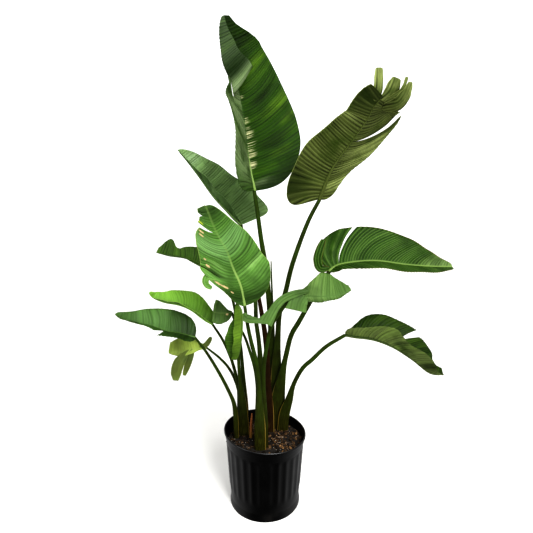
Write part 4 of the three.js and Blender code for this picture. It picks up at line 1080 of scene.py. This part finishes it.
class PLANT_OT_stalks(bpy.types.Operator):
    """The thirteen leaf stalks with their sheathing bases"""
    bl_idname = "plant.stalks"
    bl_label = "Leaf Stalks"

    def execute(self, context):
        colours = context.scene.plant.stalks
        green = stalk_material("leaf_stalk", colours.green, colours.deep, colours.brown)
        for name, leaf in LEAVES.items():
            skin = Skin()
            lean = leaf["rib"][0][0] - leaf["stalk"]["route"][-1][0]
            rings, values = stalk_rings(leaf["stalk"], -np.sign(lean))
            tube(skin, rings, **values)
            skin.piece(name + "_petiole", green, "stalk", name + "_stalk")
        return {"FINISHED"}


class PLANT_OT_shoots(bpy.types.Operator):
    """The rolled new leaf, the dried stalk and the dead stub"""
    bl_idname = "plant.shoots"
    bl_label = "Shoots"

    def execute(self, context):
        colours = context.scene.plant.stalks
        brown = colours.brown
        for name, slot, groove, *finish in (
                ("rolled_leaf", "stalk", 0.2, "young_leaf", colours.green, colours.deep,
                 colours.green),
                ("dried_stalk", "dried_stem", 0.5, "dry_sheath", colours.dried,
                 darker(colours.dried, 0.4), brown, 1.0),
                ("dead_stub", "dried_stem", 0.2, "dead_stub_skin", colours.copper, brown, brown,
                 1.0)):
            skin = Skin()
            rings, values = stalk_rings(SHOOTS[name], 1, groove)
            tube(skin, rings, **values)
            skin.piece(name + "_piece", stalk_material(*finish), slot, name)
        return {"FINISHED"}


# ------------------------------------------------------------------ pot and mix

def side_radius(z):
    """Outer radius of the wall between its flutes, at a height."""
    share = np.clip(np.asarray(z, float) / POT.band_bottom, 0, 1)
    low, high = POT.base_radius - POT.set_back, POT.lip_radius - POT.band_inset - POT.set_back
    return low + (high - low) * share


def rounded(corners):
    """A profile with its corners rounded off."""
    radius, steps = 1.2, 4
    corners = [np.array(p, float) for p in corners]
    line = [corners[0]]
    for a, b, c in zip(corners, corners[1:], corners[2:]):
        back, on = a - b, c - b
        reach = min(radius, np.linalg.norm(back) / 2.2, np.linalg.norm(on) / 2.2)
        p = b + unit(back) * reach
        q = b + unit(on) * reach
        for k in range(steps + 1):
            w = k / steps
            line.append((1 - w) ** 2 * p + 2 * w * (1 - w) * b + w ** 2 * q)
    return line + [corners[-1]]


def densed(line):
    """A profile with extra points on its long straight stretches."""
    longest = 6
    points = [line[0]]
    for a, b in zip(line, line[1:]):
        parts = max(1, math.ceil(np.linalg.norm(b - a) / longest))
        points += [a + (b - a) * k / parts for k in range(1, parts + 1)]
    return np.array(points)


def lean_down(points):
    """The soft rim sags towards +X, more so higher up."""
    rise = np.clip(points[..., 2] / POT.height, 0, 1) ** 2
    points[..., 2] -= POT.lean * points[..., 0] * rise
    return points


class PLANT_OT_pot(bpy.types.Operator):
    """The fluted nursery pot with its heel holes"""
    bl_idname = "plant.pot"
    bl_label = "Nursery Pot"

    def execute(self, context):
        settings = context.scene.plant.pot
        wall, height, foot, base = POT.wall, POT.height, POT.foot, POT.base_radius
        bottom, top, band = POT.flute_bottom, POT.flute_top, POT.band_bottom
        band_radius = side_radius(band) + POT.set_back - POT.band_set_back
        lip, lip_bottom = POT.lip_radius, height - POT.lip_height
        neck, ring, slope = lip - POT.lip_overhang, base - POT.ring, foot + POT.foot_slope
        profile = densed(rounded([
            (POT.centre, POT.hollow), (ring - POT.ring_slope, POT.hollow), (ring, 0),
            (base, 0), (base, foot), (side_radius(slope), slope), (side_radius(bottom), bottom),
            (side_radius(top), top), (band_radius, band), (neck, lip_bottom),
            (lip, lip_bottom + 2.5), (lip + 0.2, height - 2), (lip - 2, height),
            (lip - 4, height - 1.5), (neck - wall, lip_bottom), (band_radius - wall, band),
            (side_radius(top) - wall, top), (side_radius(bottom) - wall, bottom + 4),
            (side_radius(foot) - wall, POT.floor), (POT.centre, POT.floor),
        ]))
        angle = circle(POT.flutes * 12)
        ridge = (0.5 - 0.5 * np.cos(POT.flutes * angle)) ** 1.3
        z = profile[:, 1]
        fluted = step_up((z - bottom) / 22) * step_up((top - z) / 8)
        out = profile[:, :1] + settings.flute_depth / MM * fluted[:, None] * ridge[None, :]
        # soft plastic is never quite round
        out = out * (1 + POT.oval * np.sin(2 * angle + 0.7) * (z[:, None] / height))
        skin = Skin()
        tube(skin, lean_down(np.stack([
            out * np.cos(angle), out * np.sin(angle), np.broadcast_to(z[:, None], out.shape)],
            -1)), inside_out=True)
        pot = skin.piece("nursery_pot", pot_material(settings), "pot_plastic", "pot")
        self.drill(context, pot)
        return {"FINISHED"}

    def drill(self, context, pot):
        """Cuts the heel holes and leaves the mesh with them cut."""
        drills = Skin()
        above = np.array([0, 0, 1.0])
        angle = circle(32)[:, None]
        for i in range(HEEL_HOLES.count):
            turn = -math.pi / 2 + i * 2 * math.pi / HEEL_HOLES.count
            out = np.array([math.cos(turn), math.sin(turn), 0])
            side = np.array([-math.sin(turn), math.cos(turn), 0])
            ring = (side * np.cos(angle) + above * np.sin(angle)) * HEEL_HOLES.radius
            centre = out * (POT.base_radius - HEEL_HOLES.inset) + above * HEEL_HOLES.height
            tube(drills, np.stack([ring + centre - out * HEEL_HOLES.reach,
                                   ring + centre + out * HEEL_HOLES.reach]))
        cutter = put_in_scene("heel_drills", drills.mesh("heel_drills"))
        cut = pot.modifiers.new("heel holes", "BOOLEAN")
        cut.operation, cut.object, cut.solver = "DIFFERENCE", cutter, "EXACT"
        context.view_layer.update()
        carved = bpy.data.meshes.new_from_object(pot.evaluated_get(
            context.evaluated_depsgraph_get()))
        pot.modifiers.clear()
        if len(carved.polygons) <= len(pot.data.polygons):
            raise RuntimeError("the heel holes were not cut")
        pot.data = carved
        bpy.data.objects.remove(cutter)


def bed_height(x, y):
    """Height of the mix at a place: a low crown, with hollows and lumps."""
    height = MIX.top - MIX.crown * (math.hypot(x, y) / MIX.radius) ** 2 - MIX.sunk
    for waves, rise, layer in MIX.lumps:
        height += rise * noise.noise(Vector((x * waves, y * waves, layer)))
    return height


def turned(points, angle, i, j):
    """Points turned in the plane of two axes."""
    matrix = np.eye(3)
    matrix[i, i] = matrix[j, j] = math.cos(angle)
    matrix[i, j], matrix[j, i] = math.sin(angle), -math.sin(angle)
    return points @ matrix


def pebble(rng, size, roughness, flat):
    """A rough little block: a round grid of points pushed in and out."""
    rows, sides = 6, 8
    polar, turn = np.linspace(0.15, np.pi - 0.15, rows)[:, None], circle(sides)
    ball = np.stack([np.sin(polar) * np.cos(turn), np.sin(polar) * np.sin(turn),
                     np.cos(polar) * np.ones(sides)], -1)
    ball = ball * (1 + roughness * rng.uniform(-1, 1, (rows, sides, 1)))
    ball = ball * size * np.array([1, rng.uniform(0.3, 0.8), flat])
    tilt, spin = rng.normal(0, 0.35), rng.uniform(0, 2 * np.pi)
    return turned(turned(ball, tilt, 0, 2), spin, 0, 1)


def somewhere(rng, radius):
    """A place on the mix within a radius, each as likely as the next."""
    far, turn = radius * math.sqrt(rng.uniform(0, 1)), rng.uniform(0, 2 * math.pi)
    return far * math.cos(turn), far * math.sin(turn)


class PLANT_OT_mix(bpy.types.Operator):
    """The potting mix with its bark chips, perlite and fibres"""
    bl_idname = "plant.mix"
    bl_label = "Potting Mix"

    def execute(self, context):
        settings = context.scene.plant.mix
        peat, bark, perlite = settings.peat, settings.bark, settings.perlite
        rng = np.random.default_rng(5)
        inner = lambda z: side_radius(z) - POT.wall - MIX.clear
        angle = circle(168)
        points = [[(r * math.cos(a), r * math.sin(a), bed_height(r * math.cos(a), r * math.sin(a)))
                   for a in angle] for r in np.linspace(POT.centre, inner(200) - 0.6, 56)]
        for r, z in (*((inner(z) - 0.8, z) for z in MIX.side), (POT.centre, MIX.side[-1])):
            points.append([(r * math.cos(a), r * math.sin(a), z) for a in angle])
        bed = Skin()
        tube(bed, np.array(points), shade=np.array(
            [[0.5 + 0.5 * noise.noise(Vector(p) * 0.2) for p in row] for row in points]))
        bed.piece("mix_bed", crumb_material("peat", peat, lighter(peat, 0.03), 0.95, 2),
                  "potting_mix", "potting_mix")
        self.scatter(rng, "bark_chips", settings.chips, (2.0, 8.5), 0.22, 0.4,
                     crumb_material("pine_bark", darker(peat, 0.1), bark, 0.85, 3.333))
        self.scatter(rng, "perlite", settings.grains, (0.9, 2.2), 0.15, 0.8,
                     crumb_material("perlite", darker(perlite, 0.35), perlite, 0.9, 1.111))
        self.fibres(rng, settings.fibres, crumb_material(
            "coir", darker(bark, 0.7), lighter(bark, 0.15), 0.9, 1.667))
        return {"FINISHED"}

    def scatter(self, rng, name, count, sizes, roughness, flat, material):
        """Loose bits lying on the bed, each a little sunk into it, paler towards the right."""
        skin = Skin()
        for _ in range(count):
            x, y = somewhere(rng, MIX.bits)
            size = sizes[0] + (sizes[1] - sizes[0]) * rng.uniform(0, 1) ** 2.4
            ball = pebble(rng, size, roughness, flat)
            place = np.array([x, y, bed_height(x, y) + size * flat * rng.uniform(-0.1, 0.5)])
            # chips grow paler towards the right and darker towards the left
            paler_to_right = 0.35 + 0.65 * step_up((x + 30) / 70)
            tube(skin, ball + place, shade=rng.uniform(0, 1) ** 2.0 * paler_to_right)
        skin.piece(name, material, "potting_mix", smooth=False)

    def fibres(self, rng, count, material):
        """Thin roots and husk threads lying on the bed."""
        skin = Skin()
        parts = 5
        for _ in range(count):
            x, y = somewhere(rng, MIX.fibres)
            heading, bend = rng.uniform(0, 2 * math.pi), rng.normal(0, 0.5)
            length, size = rng.uniform(8, 30), rng.uniform(0.25, 0.7)
            points = []
            for _ in range(parts + 1):
                if math.hypot(x, y) < MIX.fibre_ends:
                    points.append([x, y, bed_height(x, y) + size + rng.uniform(0.3, 1.6)])
                heading += bend
                x += length / parts * math.cos(heading)
                y += length / parts * math.sin(heading)
            if len(points) < 3:
                continue
            place, tangent = Route(points, 6).at(np.linspace(0, 1, 12))
            side = unit(np.cross(tangent, [0, 0, 1.0]))
            angle = circle(5)[None, :]
            tube(skin, rings_round(place, side, np.cross(side, tangent), size * np.cos(angle),
                                   size * np.sin(angle)), shade=rng.uniform(0, 1))
        skin.piece("mix_fibres", material, "potting_mix")


# ------------------------------------------------------------------ stage

CAMERA = SimpleNamespace(place=(0.005, -1.19, 0.943), down=9.15, sensor=36, lens=27.717)
PLANT_MIDDLE = Vector((0, 0, 0.7))
FLOOR_CORNERS = ((-6, -4, 0), (6, -4, 0), (6, 8, 0), (-6, 8, 0))


class PLANT_OT_stage(bpy.types.Operator):
    """The plain pale floor, the soft lights and the camera"""
    bl_idname = "plant.stage"
    bl_label = "Stage"

    def execute(self, context):
        settings = context.scene.plant.stage
        scene = context.scene
        self.floor(settings.floor)
        scene.world = self.room(settings.surround)
        self.light("key", "SUN", settings.key, (0.9, -1.4, 2.2), angle=math.radians(28))
        self.light("fill", "AREA", settings.fill, (-2.0, -1.3, 1.6), size=1.2)
        self.light("front", "AREA", settings.front, (0.4, -2.4, 1.3), size=1.6)
        camera = bpy.data.cameras.new("camera")
        camera.sensor_width = CAMERA.sensor
        camera.lens = CAMERA.lens
        eye = put_in_scene("camera", camera)
        eye.location = CAMERA.place
        eye.rotation_euler = (math.radians(90 - CAMERA.down), 0, 0)
        scene.camera = eye
        scene.view_settings.view_transform = "Standard"
        scene.view_settings.look = "High Contrast"
        return {"FINISHED"}

    def floor(self, colour):
        """A matte floor, which glossy rays pass by so that its white stays off the pot."""
        mesh = bpy.data.meshes.new("floor")
        mesh.from_pydata(FLOOR_CORNERS, [], [(0, 1, 2, 3)])
        material, add = new_material("matte_floor")
        add("OutputMaterial", {"Surface": add("BsdfPrincipled", {
            "Base Color": colour, "Roughness": 0.8})})
        mesh.materials.append(material)
        floor = put_in_scene("floor", mesh)
        floor.visible_glossy = False

    def room(self, strength):
        """White to the eye, and as light dimmer behind the camera and straight below."""
        world = bpy.data.worlds.new("studio")
        world.use_nodes = True
        world.node_tree.nodes.clear()
        add = functools.partial(add_node, world.node_tree)
        towards = add("SeparateXYZ", {0: add("TexCoord").outputs[0]})
        light = add("Math", {
            0: add("MapRange", {"Value": towards.outputs[1], "From Min": -0.7, "From Max": -0.15,
                                "To Min": strength * 0.06, "To Max": strength}),
            1: add("MapRange", {"Value": towards.outputs[2], "From Min": -0.95,
                                "From Max": -0.65, "To Min": 0.1})}, operation="MULTIPLY")
        add("OutputWorld", {"Surface": add("Background", {
            "Color": (1.0, 1.0, 1.0), "Strength": add("MapRange", {
                "Value": add("LightPath").outputs["Is Camera Ray"], "To Min": light,
                "To Max": 1.0})})})
        return world

    def light(self, name, kind, power, place, **settings):
        """A soft light at a place, aimed at the middle of the plant."""
        lamp = bpy.data.lights.new(name, kind)
        lamp.energy = power
        for key, value in settings.items():
            setattr(lamp, key, value)
        holder = put_in_scene(name, lamp)
        holder.location = place
        aim = PLANT_MIDDLE - Vector(place)
        holder.rotation_euler = aim.to_track_quat("-Z", "Y").to_euler()


class PLANT_PT_panel(bpy.types.Panel):
    """Lists the plant's pieces and their settings"""
    bl_label = "Bird of Paradise"
    bl_idname = "PLANT_PT_panel"
    bl_space_type = "VIEW_3D"
    bl_region_type = "UI"
    bl_category = "House Plant"

    def draw(self, context):
        plant = context.scene.plant
        for operator, group in STEPS:
            box = self.layout.box()
            box.operator(operator.bl_idname)
            if group:
                settings = getattr(plant, group)
                for name in settings.__annotations__:
                    box.prop(settings, name)


STEPS = ((PLANT_OT_stage, "stage"), (PLANT_OT_pot, "pot"), (PLANT_OT_mix, "mix"),
         (PLANT_OT_stalks, "stalks"), (PLANT_OT_shoots, None), (PLANT_OT_blades, "foliage"))
CLASSES = (FoliageSettings, StalkSettings, PotSettings, MixSettings, StageSettings, PlantSettings,
           *(operator for operator, _ in STEPS), PLANT_PT_panel)


def register():
    for part in CLASSES:
        bpy.utils.register_class(part)
    bpy.types.Scene.plant = bpy.props.PointerProperty(type=PlantSettings)


def unregister():
    del bpy.types.Scene.plant
    for part in reversed(CLASSES):
        bpy.utils.unregister_class(part)


def main():
    register()
    for operator, _ in STEPS:
        space, action = operator.bl_idname.split(".")
        getattr(getattr(bpy.ops, space), action)()


if __name__ == "__main__":
    main()
